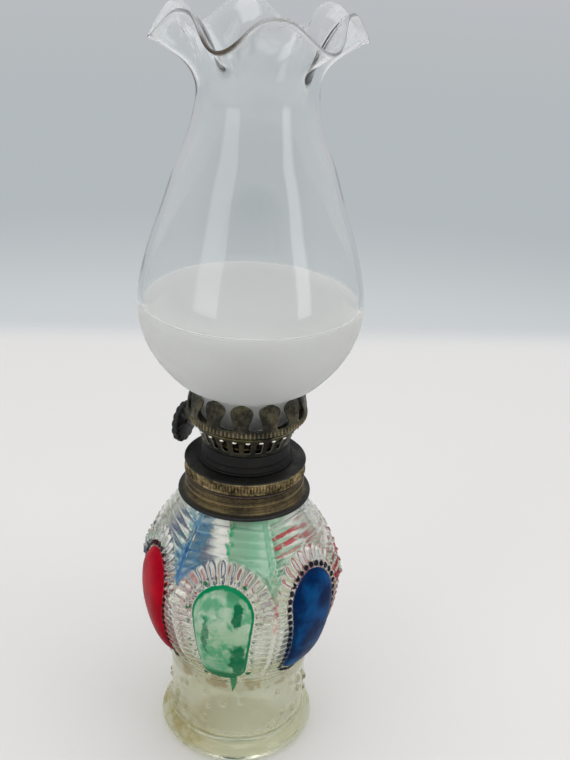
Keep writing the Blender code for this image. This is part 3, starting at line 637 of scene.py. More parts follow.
def fontMaterial(paint, glass):
    made, m = newMaterial("fontGlass")
    where = place(m)
    azimuth, height = azimuthOf(m, where)
    degrees = azimuth * (180 / math.pi)
    inset, ray, bar, skin = [m.attribute(name) for name in ("inset", "ray", "bar", "skin")]
    turn = azimuth - reliefSize["panelTurn"] + panelHalf
    panel = (turn / (2 * panelHalf)).floor() % 3.0
    across = (turn % (2 * panelHalf) - panelHalf) * 25.0      # millimetres from the panel's middle
    up = height / mm - reliefSize["jewelZ"]
    worn = m.noise(where, 420.0, 5.0, 0.7)
    broad = m.noise(where, 150.0, 3.0, 0.5)
    ragged = m.noise(where, 900.0, 3.0, 0.6) - 0.5
    colour, cover, isGreen = jewelColour(m, paint, where, across, up, panel, inset, ragged, worn, broad)
    # painted refraction over the shoulder's bars: the far ovals' colours, seen through the glass, put on as
    # flat colour
    outward = -inset
    shoulder = outward.ramp(5.2, 6.0) * (up > 0.0)
    reach = degrees + ragged * 14
    blueRefraction = shoulder * reach.window(*tintSpans["blue"]) * (1 - bar * 0.35) * broad.ramp(0.4, 0.5)
    greenRefraction = shoulder * reach.window(*tintSpans["green"]) * (1 - bar * 0.2)
    greenRefractionEdge = shoulder * reach.window(*tintSpans["edge"]) * worn.ramp(0.45, 0.52)
    level = (shoulderZ - 0.4 - height / mm + ragged * 0.5) / reliefSize["shoulderPitch"]
    redBands = 0.0
    for spot, half, share in redRefractionBands:
        redBand = (half - abs(level - spot)).ramp(0.0, 0.12) * share
        redBands = redBand.atLeast(redBands)
    redRefraction = shoulder * reach.window(*tintSpans["red"]) * redBands * worn.ramp(0.36, 0.46)
    refraction = (blueRefraction * 0.6).atLeast(greenRefraction * 0.62).atLeast(greenRefractionEdge * 0.85).atLeast(redRefraction * 0.8)
    colour = m.mix(refraction > 0.02, colour, paint["refractedGreen"])
    mottledRefraction = m.mix(worn.ramp(0.48, 0.56), paint["refractedBlue"], paint["refractedDeep"])
    colour = m.mix(blueRefraction, colour, mottledRefraction)
    colour = m.mix(greenRefractionEdge, colour, paint["refractedEdge"])
    colour = m.mix(redRefraction, colour, paint["refractedRed"])
    cover = cover.atLeast(refraction) * skin
    enamel = principled(m, {
        "Base Color": colour, "Roughness": paint["rough"] + worn * paint["roughMore"],
        "Specular IOR Level": paint["specular"],
        "Normal": bump(m, worn * isGreen + broad, 0.00016, 0.4),
    })
    enamel = m.glowing(enamel, colour, paint["glow"])
    # stains, and the painted refraction of the far ovals, that tint the clear glass
    soil = m.noise(where, 260.0, 5.0, 0.65)
    lowGlass = height.ramp(0.0295, 0.0265)
    tint = m.mix(lowGlass, glass["tint"], glass["lowTint"])
    footStain = soil.ramp(0.42, 0.62) * height.ramp(0.02, 0.006) * degrees.ramp(-5.0, -45.0)
    tint = m.mix(footStain * 0.9, tint, paint["stain"])
    bandStain = m.noise(where, 190.0, 2.0).ramp(0.52, 0.6) * height.window(0.0235, 0.0245, 0.0275, 0.0285)
    tint = m.mix(bandStain * 0.8, tint, paint["dirt"])
    between = outward.window(1.1, 1.5, 2.3, 3.0) * (1 - ray) * (up > -2.0)
    tint = m.mix(between * worn.ramp(0.5, 0.62) * 0.85, tint, paint["dirt"])
    # the glass tinted blue and green as painted refraction of the far ovals
    tint = m.mix(blueRefraction, tint, glass["refractedBlueTint"])
    tint = m.mix(greenRefraction * 0.7, tint, glass["refractedGreenTint"])
    seam = (panelHalf * 25 - abs(across)).ramp(0.7, 0.3) * degrees.window(*tintSpans["seam"])
    seam = seam * up.window(-6.0, -3.0, 11.0, 14.0)
    tint = m.mix(seam * worn.ramp(0.4, 0.5), tint, paint["seamRed"])
    tint = m.mix(skin, glass["tint"], tint)
    rough = glass["smooth"] + (1 - skin) * glass["innerRough"] + lowGlass * 0.04
    rough = rough + (footStain + bandStain) * 0.2
    clear = principled(m, {
        "Base Color": tint, "Roughness": rough, "IOR": glass["ior"], "Transmission Weight": 1.0,
        "Normal": bump(m, m.noise(where, 700.0, 2.0), 0.00008, 0.35),
    })
    clear = lightThrough(m, clear, glass["shadowTint"])
    inside = m.add(
        "ShaderNodeVolumeAbsorption", {}, {"Color": (*glass["depthTint"], 1.0), "Density": glass["density"]}
    )
    output(m, m.over(cover, clear, enamel), inside)
    return made


fontGlass = fontMaterial(paintSize, glassSize)
fontLine, fontFlags = fontOutline(fontSize)
lampFont = turned("lampFont", fontLine, fontSize["steps"], fontGlass, fontRule, reliefSize, fontFlags)
finished(lampFont, "font", ["glass_font"], None)

# the chimney: thin blown glass, etched below its widest part, its rim pressed into six lobes
chimneyLow = lowOf("chimney")
chimneyHigh = highOf("chimney")
crownHigh = highOf("prong_crown")
chimneySize = {
    "fitterRadius": 12.1, "tipRadius": 14.1, "bulgeRadius": 27.9, "bulgeZ": chimneyLow + 30.7,
    "throatRadius": 14.3, "throatZ": chimneyLow + 79.6, "rimRadius": 23.0, "wall": 1.2, "rimWall": 0.75,
    "rimZ": chimneyHigh - 3.4, "row": 1.1, "steps": 240,
}
rimSize = {"wave": 1.8, "droop": 3.4, "lobes": 6.0, "narrow": 1.5, "lobeTurn": math.radians(9)}


def between(start, end, shares):
    return [
        (start[0] + across * (end[0] - start[0]), start[1] + up * (end[1] - start[1]))
        for across, up in shares
    ]


def chimneyOutline(size):
    fitter = (size["fitterRadius"], chimneyLow + 4.4)
    tip = (size["tipRadius"], crownHigh)
    bulge = (size["bulgeRadius"], size["bulgeZ"])
    throat = (size["throatRadius"], size["throatZ"])
    rim = (size["rimRadius"], size["rimZ"])
    line = smoothLine([
        fitter, tip,
        *between(tip, bulge, [(0.34, 0.12), (0.73, 0.41), (0.94, 0.7)]), bulge,
        *between(bulge, throat, [(0.05, 0.12), (0.2, 0.29), (0.43, 0.48), (0.66, 0.68), (0.88, 0.84)]),
        throat,
        *between(throat, rim, [(0.03, 0.32), (0.29, 0.66), (0.71, 0.91)]), rim,
    ], 8)
    line = respaced([(size["fitterRadius"], chimneyLow + 0.6)] + line, size["row"])
    sides = []
    for i, (radius, height) in enumerate(line):
        before, after = line[max(i - 1, 0)], line[min(i + 1, len(line) - 1)]
        along = Vector((after[0] - before[0], after[1] - before[1])).normalized()
        sides.append((radius, height, along.y, -along.x))
    flare = rim[1] - throat[1]
    walls = [
        size["wall"] + (size["rimWall"] - size["wall"]) * max(0.0, (height - throat[1]) / flare)
        for radius, height, x, y in sides
    ]
    outer = [(radius, height) for radius, height, x, y in sides]
    inner = [
        (radius - wall * x, height - wall * y) for (radius, height, x, y), wall in zip(sides, walls)
    ]
    radius, height, x, y = sides[-1]
    half = size["rimWall"] / 2
    centre = ((outer[-1][0] + inner[-1][0]) / 2, (outer[-1][1] + inner[-1][1]) / 2)
    lip = [
        (
            centre[0] + 1.1 * half * (x * math.cos(a) - y * math.sin(a)),
            centre[1] + 1.1 * half * (y * math.cos(a) + x * math.sin(a)),
        )
        for a in [math.radians(d) for d in (0, 30, 60, 90, 120, 150, 180)]
    ]
    bottom = [(inner[0][0] + 0.35, chimneyLow + 0.1), (outer[0][0] - 0.35, chimneyLow + 0.1)]
    line = [bottom[1]] + outer[:-1] + lip + inner[-2::-1] + [bottom[0], bottom[1]]
    flags = [1.0] * (len(outer) + 3) + [0.0] * (len(line) - len(outer) - 3)
    return line, flags


def rimRule(g, radius, height, azimuth, outside, size):
    share = height.ramp(chimneySize["throatZ"], chimneySize["rimZ"])
    wave = (0.5 - 0.5 * ((azimuth - size["lobeTurn"]) * size["lobes"]).cosine()) ** size["narrow"]
    lobe = 1 - 2 * wave
    lip = height.ramp(chimneySize["rimZ"] - 0.45, chimneySize["rimZ"] - 0.15)
    kept = {"skin": outside, "lip": lip, "trough": wave}
    return radius - share * size["wave"] * lobe, height + share * share * size["droop"] * lobe, kept


etchSize = {
    "lineZ": 0.1309, "soften": 0.0002, "white": (0.76, 0.765, 0.735), "whiteLow": (0.5, 0.51, 0.5),
    # inner is painted light on the etching's inner face, and low is painted shade on the etching's lower part
    "inner": (0.93, 0.935, 0.92), "low": (0.42, 0.43, 0.41), "cover": 0.45, "glow": 0.62, "ior": 1.45,
    "clear": (0.985, 0.99, 0.99), "haze": (0.95, 0.95, 0.94), "shadowTint": (0.97, 0.975, 0.975),
    # the lip colours are painted shade along the rim's edge
    "lip": (0.7, 0.71, 0.71), "lipBrownShade": (0.13, 0.1, 0.07), "lipShadeCover": 0.4,
}


def chimneyMaterial(etch):
    made, m = newMaterial("chimneyGlass")
    where = place(m)
    azimuth, height = azimuthOf(m, where)
    skin, lip, trough = [m.attribute(name) for name in ("skin", "lip", "trough")]
    grain = m.noise(where, 3000.0, 2.0)
    cloud = m.noise(where, 90.0, 3.0)
    line, soften = etch["lineZ"], etch["soften"]
    etched = (height + (grain - 0.5) * 0.0002).ramp(line + soften, line - soften)
    clear = principled(m, {
        "Base Color": (*etch["clear"], 1.0), "Roughness": 0.0, "IOR": etch["ior"], "Transmission Weight": 1.0,
        "Normal": bump(m, m.noise(where, 60.0, 1.0), 0.0004, 0.2),
    })
    clear = lightThrough(m, clear, etch["shadowTint"])
    colour = m.mix(cloud * 0.25, etch["white"], etch["whiteLow"])
    # darker towards the bottom: painted shade of the burner behind the etched glass
    colour = m.mix(height.ramp(0.126, 0.108), colour, etch["low"])
    # the inner face lighter than the outer: painted light falling inside from above, with the outer face as
    # the shaded copy
    colour = m.mix(skin, etch["inner"], colour)
    matt = principled(m, {
        "Base Color": colour, "Roughness": 0.55, "Normal": bump(m, grain, 0.00005, 0.4),
    })
    haze = principled(m, {
        "Base Color": (*etch["haze"], 1.0), "Roughness": 0.4, "IOR": etch["ior"], "Transmission Weight": 1.0,
    })
    frosted = m.over(etch["cover"], haze, m.glowing(matt, colour, etch["glow"]))
    # the rim's polished edge is painted grey as painted shade, browner in the troughs at the front left
    brownShade = trough.ramp(0.25, 0.8) * (azimuth * (180 / math.pi)).window(-62.0, -45.0, -8.0, 5.0)
    edgeColour = m.mix(brownShade, etch["lip"], etch["lipBrownShade"])
    edge = principled(m, {"Base Color": edgeColour, "Roughness": 0.12 + cloud * 0.1})
    edge = m.glowing(edge, edgeColour, 0.5)
    output(m, m.over(lip * (etch["lipShadeCover"] + brownShade * 0.35), m.over(etched, clear, frosted), edge))
    return made


chimneyGlass = chimneyMaterial(etchSize)
chimneyLine, chimneyFlags = chimneyOutline(chimneySize)
chimney = turned(
    "chimneyGlass", chimneyLine, chimneySize["steps"], chimneyGlass, rimRule, rimSize, chimneyFlags
)
finished(chimney, "chimney", ["chimney"], None)

# the screw collar, with its rolled thread
collarLow = lowOf("font_collar")
collarHigh = highOf("font_collar")
collarSize = {"wallRadius": 15.75, "flareRadius": 17.5, "sheet": 0.45, "row": 0.14, "steps": 160}
threadSize = {"pitch": 2.0, "depth": 0.42}


def collarOutline(size):
    wall, flare = size["wallRadius"], size["flareRadius"]
    bend = [
        (flare - 0.35, collarLow), (flare, collarLow + 0.15), (flare + 0.05, collarLow + 0.4),
        (flare - 0.1, collarLow + 0.7), (flare - 0.5, collarLow + 0.95), (wall + 0.35, collarLow + 1.15),
        (wall, collarLow + 1.5),
    ]
    outer = smoothLine(bend, 3)
    outer += respaced([(wall, collarLow + 1.5), (wall, collarHigh - 0.3)], size["row"])[1:]
    inside = wall - size["sheet"]
    top = [(wall - 0.1, collarHigh - 0.1), (wall - 0.3, collarHigh), (inside, collarHigh - 0.1)]
    inner = [(inside, collarLow + 1.6), (wall - 0.2, collarLow + 0.5), (flare - 0.6, collarLow + 0.1)]
    line = outer + top + inner
    return line + [line[0]]


def threadRule(g, radius, height, azimuth, outside, size):
    wave = (height * (2 * math.pi) / size["pitch"] - azimuth).cosine()
    crest = (0.5 - 0.5 * wave) ** 2.2
    inWall = height.window(collarLow + 1.4, collarLow + 2.2, collarHigh - 1.0, collarHigh - 0.25)
    groove = -2 * size["depth"] * crest * inWall
    # painted shade for the thread's groove and a painted highlight along its crest, kept for the material
    kept = {"valley": crest * inWall, "ridge": (0.5 + 0.5 * wave) ** 12.0 * inWall}
    return radius + groove * (radius < collarSize["wallRadius"] + 0.02), height, kept


def collarMaterial():
    made, m = newMaterial("collarBrass")
    where = place(m)
    azimuth, height = azimuthOf(m, where)
    look = agedBrassLook
    broad, fine = metalGrain(m, where, look, 130.0, 1000.0)
    streak = m.noise(m.vector(azimuth * 3.0, height * 1500.0), 2.0, 3.0)
    wear = (broad * 0.55 + fine * 0.35 + streak * 0.1).ramp(0.36, 0.64)
    # colour darkened in the thread's groove as painted shade, and brightened along its crest as a painted
    # highlight
    wear = wear * (1 - m.attribute("valley") * 0.85) * 0.62 + m.attribute("ridge") * 0.6
    colour = m.mix(wear, look["dark"], look["bright"])
    flange = height.ramp(collarLow * mm + 0.0013, collarLow * mm + 0.0009)
    colour = m.mix(flange, colour, (0.006, 0.006, 0.006))
    shader = principled(m, {
        "Base Color": colour, "Roughness": 0.33 + (1 - wear) * 0.25,
        "Metallic": (0.7 + wear * 0.3) * (1 - flange * 0.6),
        "Normal": bump(m, fine + streak * 0.3, look["pitDepth"], 0.6),
    })
    output(m, shader)
    return made


collar = turned(
    "screwCollar", collarOutline(collarSize), collarSize["steps"], collarMaterial(), threadRule, threadSize
)
finished(collar, "font", ["font_collar"])

# the burner's cap, with its knurled edge
capHigh = highOf("burner_cap")
capSize = {"radius": 16.0, "band": 15.85, "knurlRise": 3.4, "sheet": 0.45, "steps": 720}
knurlSize = {"count": 120.0, "depth": 0.16}


def capOutline(size):
    top, band = capHigh, size["band"]
    low = top - size["knurlRise"]
    return [
        (0.0, top), (11.0, top), (13.4, top - 0.02), (14.4, top - 0.05), (15.3, top - 0.03),
        (15.75, top - 0.15), (size["radius"], top - 0.4), (size["radius"], top - 0.6),
        *[(band, top - drop) for drop in (0.8, 1.0, 1.3, 1.7, 2.1, 2.5, 2.8, 3.0)],
        (band + 0.12, top - 3.1), (band + 0.12, low + 0.1), (band, low), (band - 0.3, low),
        (band - size["sheet"], low + 0.2), (band - size["sheet"], top - size["sheet"]),
        (14.4, top - size["sheet"]), (14.3, low - 3.0), (13.95, low - 3.0), (13.9, top - size["sheet"]),
        (0.0, top - size["sheet"]),
    ]


def knurlRule(g, radius, height, azimuth, outside, size):
    uneven = g.noise(g.vector(azimuth.sine() * 4, azimuth.cosine() * 4), 3.0, 2.0)
    wave = abs((azimuth * (size["count"] / 2)).sine())
    inBand = height.window(capHigh - 3.05, capHigh - 2.85, capHigh - 1.0, capHigh - 0.65)
    inBand = inBand * (radius > capSize["band"] - 0.2)
    depth = size["depth"] * (0.7 + 0.6 * uneven)
    return radius - inBand * (1 - wave) * depth * 2, height, {}


def capMaterial():
    made, m = newMaterial("capBrass")
    where = place(m)
    height = m.add("ShaderNodeSeparateXYZ", {}, {0: where}, out="Z")
    look = agedBrassLook
    broad, fine = metalGrain(m, where, look, 130.0, 900.0)
    wear = (broad * 0.6 + fine * 0.4).ramp(0.4, 0.66)
    colour = m.mix(wear, look["dark"], (0.44, 0.34, 0.17))
    onTop = height.ramp((capHigh - 0.5) * mm, (capHigh - 0.2) * mm)
    black = m.mix(broad.ramp(0.35, 0.75), (0.007, 0.008, 0.008), (0.035, 0.033, 0.026))
    colour = m.mix(onTop, colour, black)
    shader = principled(m, {
        "Base Color": colour, "Roughness": 0.36 + (1 - wear) * 0.24 + onTop * 0.05,
        "Metallic": 1 - onTop * 0.45, "Normal": bump(m, fine + broad, look["pitDepth"], 0.6),
    })
    output(m, shader)
    return made


cap = turned("burnerCap", capOutline(capSize), capSize["steps"], capMaterial(), knurlRule, knurlSize)
finished(cap, "burner", ["burner_cap"])

# the black drum that stands on the cap
drumLow = lowOf("burner_drum")
drumHigh = highOf("burner_drum")


def drumOutline():
    low, high = drumLow, drumHigh
    return [
        (11.05, low), (12.4, low), (12.5, low + 0.15), (12.4, low + 0.4), (11.75, low + 0.55),
        (11.5, low + 0.9), (11.45, low + 1.8), (11.6, low + 2.0), (11.6, low + 2.3), (11.45, low + 2.5),
        (11.5, high - 0.3),
        (11.4, high), (11.1, high), (11.05, high - 0.3), (11.05, low),
    ]


drum = turned("burnerDrum", drumOutline(), 128, blackPatina)
finished(drum, "burner", ["burner_drum"])

# the slotted basket under the crown
basketLow = lowOf("gallery_basket")
basketHigh = highOf("gallery_basket")
crownLow = lowOf("prong_crown")
basketSize = {
    "steps": 208, "count": 26, "turn": math.radians(2.1), "slotWidth": 1.75,
    "slotLow": basketLow + 1.0, "slotHigh": basketHigh - 1.1,
}


def basketOutline():
    low, high = basketLow, basketHigh
    outer = smoothLine([
        (11.5, low), (11.65, low + 0.6), (12.2, low + 2.2), (13.1, low + 4.2), (13.9, low + 5.4),
        (14.5, high),
    ], 4)
    inner = [(radius - 0.45, height + 0.05) for radius, height in reversed(outer)]
    return outer + inner + [outer[0]]


def cutTree(name, sizes, cutter, material):
    # the object's own mesh, less a ring of cutters
    tree, g, shell, size = newTree(name, sizes)
    info = g.add("GeometryNodeObjectInfo", {}, {"Object": cutter, "As Instance": True}, out="Geometry")
    points = g.add("GeometryNodePoints", {}, {"Count": size["count"]})
    index = g.add("GeometryNodeInputIndex")
    turn = index / size["count"] * (2 * math.pi) + size["turn"]
    copies = g.add(
        "GeometryNodeInstanceOnPoints", {},
        {"Points": points, "Instance": info, "Rotation": g.vector(z=turn)},
    )
    real = g.add("GeometryNodeRealizeInstances", {}, {"Geometry": copies})
    boolean = g.add(
        "GeometryNodeMeshBoolean", {"operation": "DIFFERENCE", "solver": "EXACT"},
        {"Mesh 1": shell, "Mesh 2": real},
    )
    closeTree(g, boolean, material)
    return tree


def cutterObject(name, outline, near, far):
    # an outline in (across, height) pulled out along -Y, from near to far
    bm = bmesh.new()
    face = bm.faces.new([bm.verts.new((x * mm, -near * mm, z * mm)) for x, z in outline])
    pulled = bmesh.ops.extrude_face_region(bm, geom=[face])["geom"]
    moved = [item for item in pulled if isinstance(item, bmesh.types.BMVert)]
    bmesh.ops.translate(bm, verts=moved, vec=(0, -(far - near) * mm, 0))
    bmesh.ops.recalc_face_normals(bm, faces=bm.faces)
    mesh = bpy.data.meshes.new(name)
    bm.to_mesh(mesh)
    bm.free()
    flag = mesh.attributes.new("cut", "FLOAT", "FACE")
    flag.data.foreach_set("value", [1.0] * len(mesh.polygons))
    return placed(name, mesh)


# the cut faces' colour: bare metal, brightened as a painted highlight
cutLook = dict(
    darkBrassLook, bareGlintColour=(0.75, 0.72, 0.6),
    lipHeights=(crownLow - 0.9, crownLow - 0.5, crownLow + 0.2, crownLow + 0.5),
)
# the basket's slot edges carry most of the painted highlight
basketMetal = agedMetal("basketMetal", dict(cutLook, bareGlint=0.85, lip=(0.34, 0.3, 0.12)))
crownMetal = agedMetal("crownMetal", dict(cutLook, bareGlint=0.12, lip=(0.2, 0.17, 0.08)))


def perforated(name, outline, size, cutter, replaced, material):
    shell = turned(name + "Shell", outline, size["steps"], material)
    faceOutward(shell.data)
    sizes = {"count": size["count"], "turn": size["turn"]}
    piece = evaluated(name, shell.data, cutTree(name + "Cut", sizes, cutter, material), sizes)
    bpy.data.objects.remove(shell)
    bpy.data.objects.remove(cutter)
    finished(piece, "burner", [replaced], 35)


def roundedSlot(width, low, high, corner):
    x = width / 2
    found = []
    for cx, cz, start in ((x - corner, high - corner, 0), (-x + corner, high - corner, 90),
                          (-x + corner, low + corner, 180), (x - corner, low + corner, 270)):
        for step in range(5):
            a = math.radians(start + 22.5 * step)
            found.append((cx + corner * math.cos(a), cz + corner * math.sin(a)))
    return found


slot = roundedSlot(basketSize["slotWidth"], basketSize["slotLow"], basketSize["slotHigh"], 0.6)
slotCutter = cutterObject("slotCutter", slot, 9.0, 17.0)
perforated("slottedBasket", basketOutline(), basketSize, slotCutter, "gallery_basket", basketMetal)

# the crown of spring prongs
crownSize = {"steps": 208, "count": 13, "turn": math.radians(9), "wide": 1.85, "neck": 0.68}


def crownOutline():
    low, high = crownLow, crownHigh
    outer = smoothLine([
        (14.5, low), (15.0, low + 0.25), (15.35, low + 0.9), (15.45, low + 2.2), (15.35, low + 4.0),
        (15.0, low + 5.8), (14.65, low + 7.3), (14.6, low + 8.2), (14.95, high),
    ], 4)
    inner = [(radius - 0.45, height) for radius, height in reversed(outer)]
    shelf = [(14.0, low + 0.45), (10.9, low + 0.45), (10.9, low)]
    return outer + inner[:-2] + shelf + [outer[0]]


def teardrop(size):
    low, neck, top = crownLow + 2.3, crownLow + 7.1, crownHigh + 2.0
    wide, thin = size["wide"], size["neck"]
    right = smoothLine([
        (0.0, low), (wide * 0.68, low + 0.05), (wide * 0.96, low + 0.55), (wide, low + 1.2),
        (wide * 0.84, low + 2.2), (wide * 0.58, low + 3.3), (thin * 1.1, neck - 0.5), (thin, neck),
        (thin * 1.3, neck + 0.7), (thin * 2.3, neck + 1.4), (thin * 4.2, neck + 2.1),
    ], 4)
    return right + [(thin * 4.2, top), (-thin * 4.2, top)] + [(-x, z) for x, z in reversed(right[1:])]


dropCutter = cutterObject("dropCutter", teardrop(crownSize), 12.0, 19.0)
perforated("prongCrown", crownOutline(), crownSize, dropCutter, "prong_crown", crownMetal)


def ringOf(name, size, material):
    # small rounded lumps set in a ring
    tree, g, start, given = newTree(name + "Shape", size)
    lump = g.add(
        "GeometryNodeMeshUVSphere", {},
        {"Segments": given["segments"], "Rings": given["rings"], "Radius": 1.0},
    )
    points = g.add("GeometryNodePoints", {}, {"Count": given["count"]})
    turn = g.add("GeometryNodeInputIndex") / given["count"] * (2 * math.pi) + given["turn"]
    spot = g.scaled(g.around(given["radius"], turn, given["height"]), mm)
    placedPoints = g.add("GeometryNodeSetPosition", {}, {"Geometry": points, "Position": spot})
    scale = g.vector(given["wide"] * mm, given["thick"] * mm, given["high"] * mm)
    copies = g.add(
        "GeometryNodeInstanceOnPoints", {},
        {"Points": placedPoints, "Instance": lump, "Rotation": g.vector(z=turn), "Scale": scale},
    )
    closeTree(g, copies, material)
    piece = evaluated(name, bpy.data.meshes.new(name), tree, size)
    finished(piece, "burner", [], None)


# the milled band round the crown's foot, and a bright lump at the top of every slot: a painted highlight for
# the light seen through the slots
bandSize = {
    "count": 92, "turn": 0.0, "radius": 15.42, "height": crownLow + 1.3, "wide": 0.28, "thick": 0.28,
    "high": 0.85, "segments": 8, "rings": 5,
}
slotGlintSize = {
    "count": basketSize["count"], "turn": basketSize["turn"], "radius": 14.05,
    "height": basketSize["slotHigh"] - 0.1, "wide": 0.62, "thick": 0.2, "high": 0.3,
    "segments": 12, "rings": 6,
}
ringOf("milledBand", bandSize, agedMetal("milledBrass", dict(
    darkBrassLook, bright=(0.3, 0.25, 0.14), wearLow=0.3,
)))
# painted highlight: near-white lumps at the slot tops stand for light seen through the slots
ringOf("slotBurrs", slotGlintSize, agedMetal("slotGlintMetal", dict(
    agedBrassLook, bright=(0.9, 0.87, 0.76), dark=(0.3, 0.27, 0.2), wearLow=0.25, wearHigh=0.45,
    smooth=0.22, speckle=0.1,
)))

# the winder's knob: a scalloped disc on the shaft
knobLow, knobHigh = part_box("thumb_wheel")
knobSize = {"radius": 5.7, "thickness": 2.0, "steps": 168}
lobeSize = {"lobes": 14.0, "depth": 0.504, "from": 3.6, "full": 4.6}


def knobOutline(size):
    radius, half = size["radius"], size["thickness"] / 2
    return [
        (0.0, half * 0.8), (2.0, half * 0.8), (2.4, half * 0.55), (radius - 1.3, half * 0.55),
        (radius - 0.9, half * 0.95), (radius - 0.5, half), (radius - 0.15, half * 0.75),
        (radius, half * 0.35),
        (radius, -half * 0.35), (radius - 0.15, -half * 0.75), (radius - 0.5, -half), (0.0, -half),
    ]


def lobeRule(g, radius, height, azimuth, outside, size):
    notch = 1 - abs((azimuth * (size["lobes"] / 2)).cosine())
    return radius - size["depth"] * notch * radius.ramp(size["from"], size["full"]), height, {}


knob = turned("winderKnob", knobOutline(knobSize), knobSize["steps"], blackLacquer, lobeRule, lobeSize)
finished(knob, "winder", ["thumb_wheel"])
joints = {joint["name"]: joint for joint in frame["joints"]}
shaftAxis = Vector(joints["winder_turn"]["axis"]).normalized()
knobCentre = (Vector(knobLow) + Vector(knobHigh)) / 2
turnTo = shaftAxis.to_track_quat("Z", "Y").to_matrix().to_4x4()
knob.data.transform(Matrix.Translation(knobCentre) @ turnTo)

# the wick, a flat woven strip
wickSize = {
    "width": 7.6, "thick": 1.2, "low": lowOf("wick"), "high": highOf("wick"), "rows": 100,
    "corner": 0.5, "wave": 0.04,
}


def makeWick(size):
    outline = roundedSlot(size["width"], -size["thick"] / 2, size["thick"] / 2, size["corner"])
    bm = bmesh.new()
    weave = bm.loops.layers.uv.new("weave")
    rings = []
    for row in range(size["rows"] + 1):
        z = size["low"] + (size["high"] - size["low"]) * row / size["rows"]
        wave = size["wave"] * math.sin(row * 1.9)
        ring = [(x, y + wave if y > 0 else y - wave, z) for x, y in outline]
        rings.append([bm.verts.new(Vector(point) * mm) for point in ring])
    count = len(outline)
    for row in range(size["rows"]):
        for i in range(count):
            face = bm.faces.new((rings[row][i], rings[row][(i + 1) % count],
                                 rings[row + 1][(i + 1) % count], rings[row + 1][i]))
            for loop in face.loops:
                loop[weave].uv = (loop.vert.co.x / (size["width"] * mm), loop.vert.co.z)
    bm.faces.new(rings[-1])
    bm.faces.new(list(reversed(rings[0])))
    mesh = bpy.data.meshes.new("wickStrip")
    bm.to_mesh(mesh)
    bm.free()
    mesh.transform(Matrix.Rotation(math.atan2(shaftAxis.y, shaftAxis.x), 4, "Z"))
    mesh.materials.append(wickCotton)
    finished(placed("wickStrip", mesh), "wick", ["wick"], 60)


makeWick(wickSize)

# the pieces whose CAD shape is right keep it and get their finish
finishes = {
    "collar_cement": collarPlaster, "cap_washer": washerFibre, "shaft_bush": agedBrass,
    "wick_guide": darkBrass, "wick_tube": darkBrass, "tube_ferrule": darkBrass, "vent_tube": darkBrass,
    "air_plate": agedBrass, "flame_cone": darkBrass, "wick_shaft": wornSteel, "near_spur_wheel": wornSteel,
    "far_spur_wheel": wornSteel, "knob_rivet": agedBrass,
}
for node, finish in finishes.items():
    slots = frame["nodes"][node].material_slots
    if not slots:
        frame["nodes"][node].data.materials.append(finish)
    for held in slots:
        held.material = finish
print("finishes set")

# floor, room and lights
stageSize = {
    "reach": 9, "floorBack": 0.291, "floorTurn": 3.0, "fade": 0.018,
    "floor": (0.69, 0.675, 0.66), "floorMottle": (0.67, 0.66, 0.645),
    "wallMiddle": (0.45, 0.485, 0.503), "wallLow": (0.6, 0.63, 0.65), "wallTop": (0.5, 0.51, 0.535),
    "above": (0.8, 0.81, 0.83), "behind": (0.2, 0.2, 0.205),
}


def makeFloor(size):
    mesh = bpy.data.meshes.new("floor")
    back = size["floorBack"] + size["fade"]
    far = size["reach"]
    corners = [(-far, -far, 0), (far, -far, 0), (far, back, 0), (-far, back, 0)]
    mesh.from_pydata(corners, [], [(0, 1, 2, 3)])
    made, m = newMaterial("floorPaper")
    where = place(m)
    across = m.add("ShaderNodeSeparateXYZ", {}, {0: where}, out="Y")
    tone = m.noise(where, 1.5, 2.0)
    colour = m.mix(tone, size["floor"], size["floorMottle"])
    matt = principled(m, {"Base Color": colour, "Roughness": 0.6, "Specular IOR Level": 0.2})
    gone = m.add("ShaderNodeBsdfTransparent")
    edge = across.ramp(size["floorBack"] - size["fade"], size["floorBack"] + size["fade"])
    output(m, m.over(edge, matt, gone))
    mesh.materials.append(made)
    floor = placed("floor", mesh)
    floor.rotation_euler = (0, 0, math.radians(size["floorTurn"]))


makeFloor(stageSize)


def makeWorld(size):
    world = bpy.data.worlds.new("room")
    world.use_nodes = True
    world.node_tree.nodes.clear()
    m = Maker(world.node_tree)
    where = m.add("ShaderNodeTexCoord", out="Generated")
    parts = m.add("ShaderNodeSeparateXYZ", {}, {0: where})
    height = parts.of("Z")
    colour = m.mix(height.ramp(-0.38, -0.27), size["wallLow"], size["wallMiddle"])
    colour = m.mix(height.ramp(-0.2, -0.05), colour, size["wallTop"])
    colour = m.mix(height.ramp(0.2, 0.8), colour, size["above"])
    back = parts.of("Y").ramp(0.1, -0.5) * height.window(0.05, 0.35, 0.5, 0.75)
    colour = m.mix(back, colour, size["behind"])
    background = m.add("ShaderNodeBackground", {}, {"Color": colour, "Strength": 1.0})
    made = world.node_tree.nodes.new("ShaderNodeOutputWorld")
    world.node_tree.links.new(background.socket, made.inputs["Surface"])
    bpy.context.scene.world = world


makeWorld(stageSize)

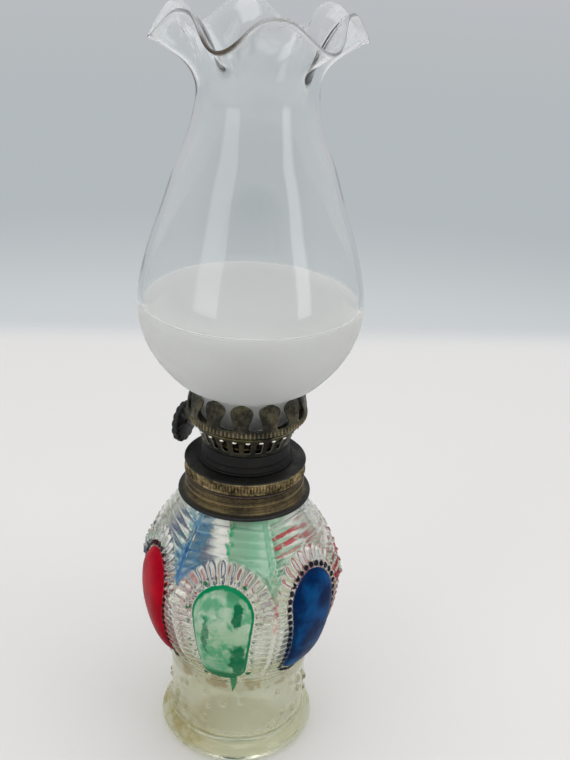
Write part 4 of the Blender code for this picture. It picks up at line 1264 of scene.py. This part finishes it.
lightPlaces = [
    # name, place, aimed at, width, height, power
    ("leftWindow", (-0.75, -0.75, 0.55), (0, 0, 0.1), 0.55, 1.0, 2.0),
    ("rightWindow", (0.85, -0.6, 0.5), (0, 0, 0.1), 0.3, 0.9, 1.4),
    ("overhead", (0.1, -0.1, 1.2), (0, 0, 0), 1.2, 1.2, 8.5),
]
for name, where, aim, width, height, power in lightPlaces:
    light = bpy.data.lights.new(name, "AREA")
    light.shape = "RECTANGLE"
    light.size = width
    light.size_y = height
    light.energy = power
    made = placed(name, light)
    made.location = where
    made.rotation_euler = (Vector(aim) - Vector(where)).to_track_quat("-Z", "Y").to_euler()

cameraPlace = {
    "back": 0.2547, "up": 0.2266, "yaw": 2.12, "pitch": 24.85, "roll": 2.9, "lens": 52.1, "sensor": 36.0,
}


def makeCamera(size):
    yaw, pitch, roll = (math.radians(size[key]) for key in ("yaw", "pitch", "roll"))
    ahead = Vector((math.sin(yaw) * math.cos(pitch), math.cos(yaw) * math.cos(pitch), -math.sin(pitch)))
    right = Vector((math.cos(yaw), -math.sin(yaw), 0))
    up = right.cross(ahead)
    tiltedRight = right * math.cos(roll) + up * math.sin(roll)
    tiltedUp = up * math.cos(roll) - right * math.sin(roll)
    camera = placed("camera", bpy.data.cameras.new("camera"))
    camera.data.lens = size["lens"]
    camera.data.sensor_width = size["sensor"]
    camera.data.clip_start = 0.01
    camera.matrix_world = Matrix((
        (tiltedRight.x, tiltedUp.x, -ahead.x, 0), (tiltedRight.y, tiltedUp.y, -ahead.y, -size["back"]),
        (tiltedRight.z, tiltedUp.z, -ahead.z, size["up"]), (0, 0, 0, 1),
    ))
    bpy.context.scene.camera = camera


makeCamera(cameraPlace)
scene = bpy.context.scene
scene.view_settings.view_transform = "Standard"
scene.cycles.max_bounces = 24
scene.cycles.transmission_bounces = 20
scene.cycles.glossy_bounces = 8
scene.cycles.diffuse_bounces = 5
scene.cycles.transparent_max_bounces = 24
scene.cycles.caustics_refractive = True
scene.cycles.sample_clamp_indirect = 6.0
print("room, lights and camera set")
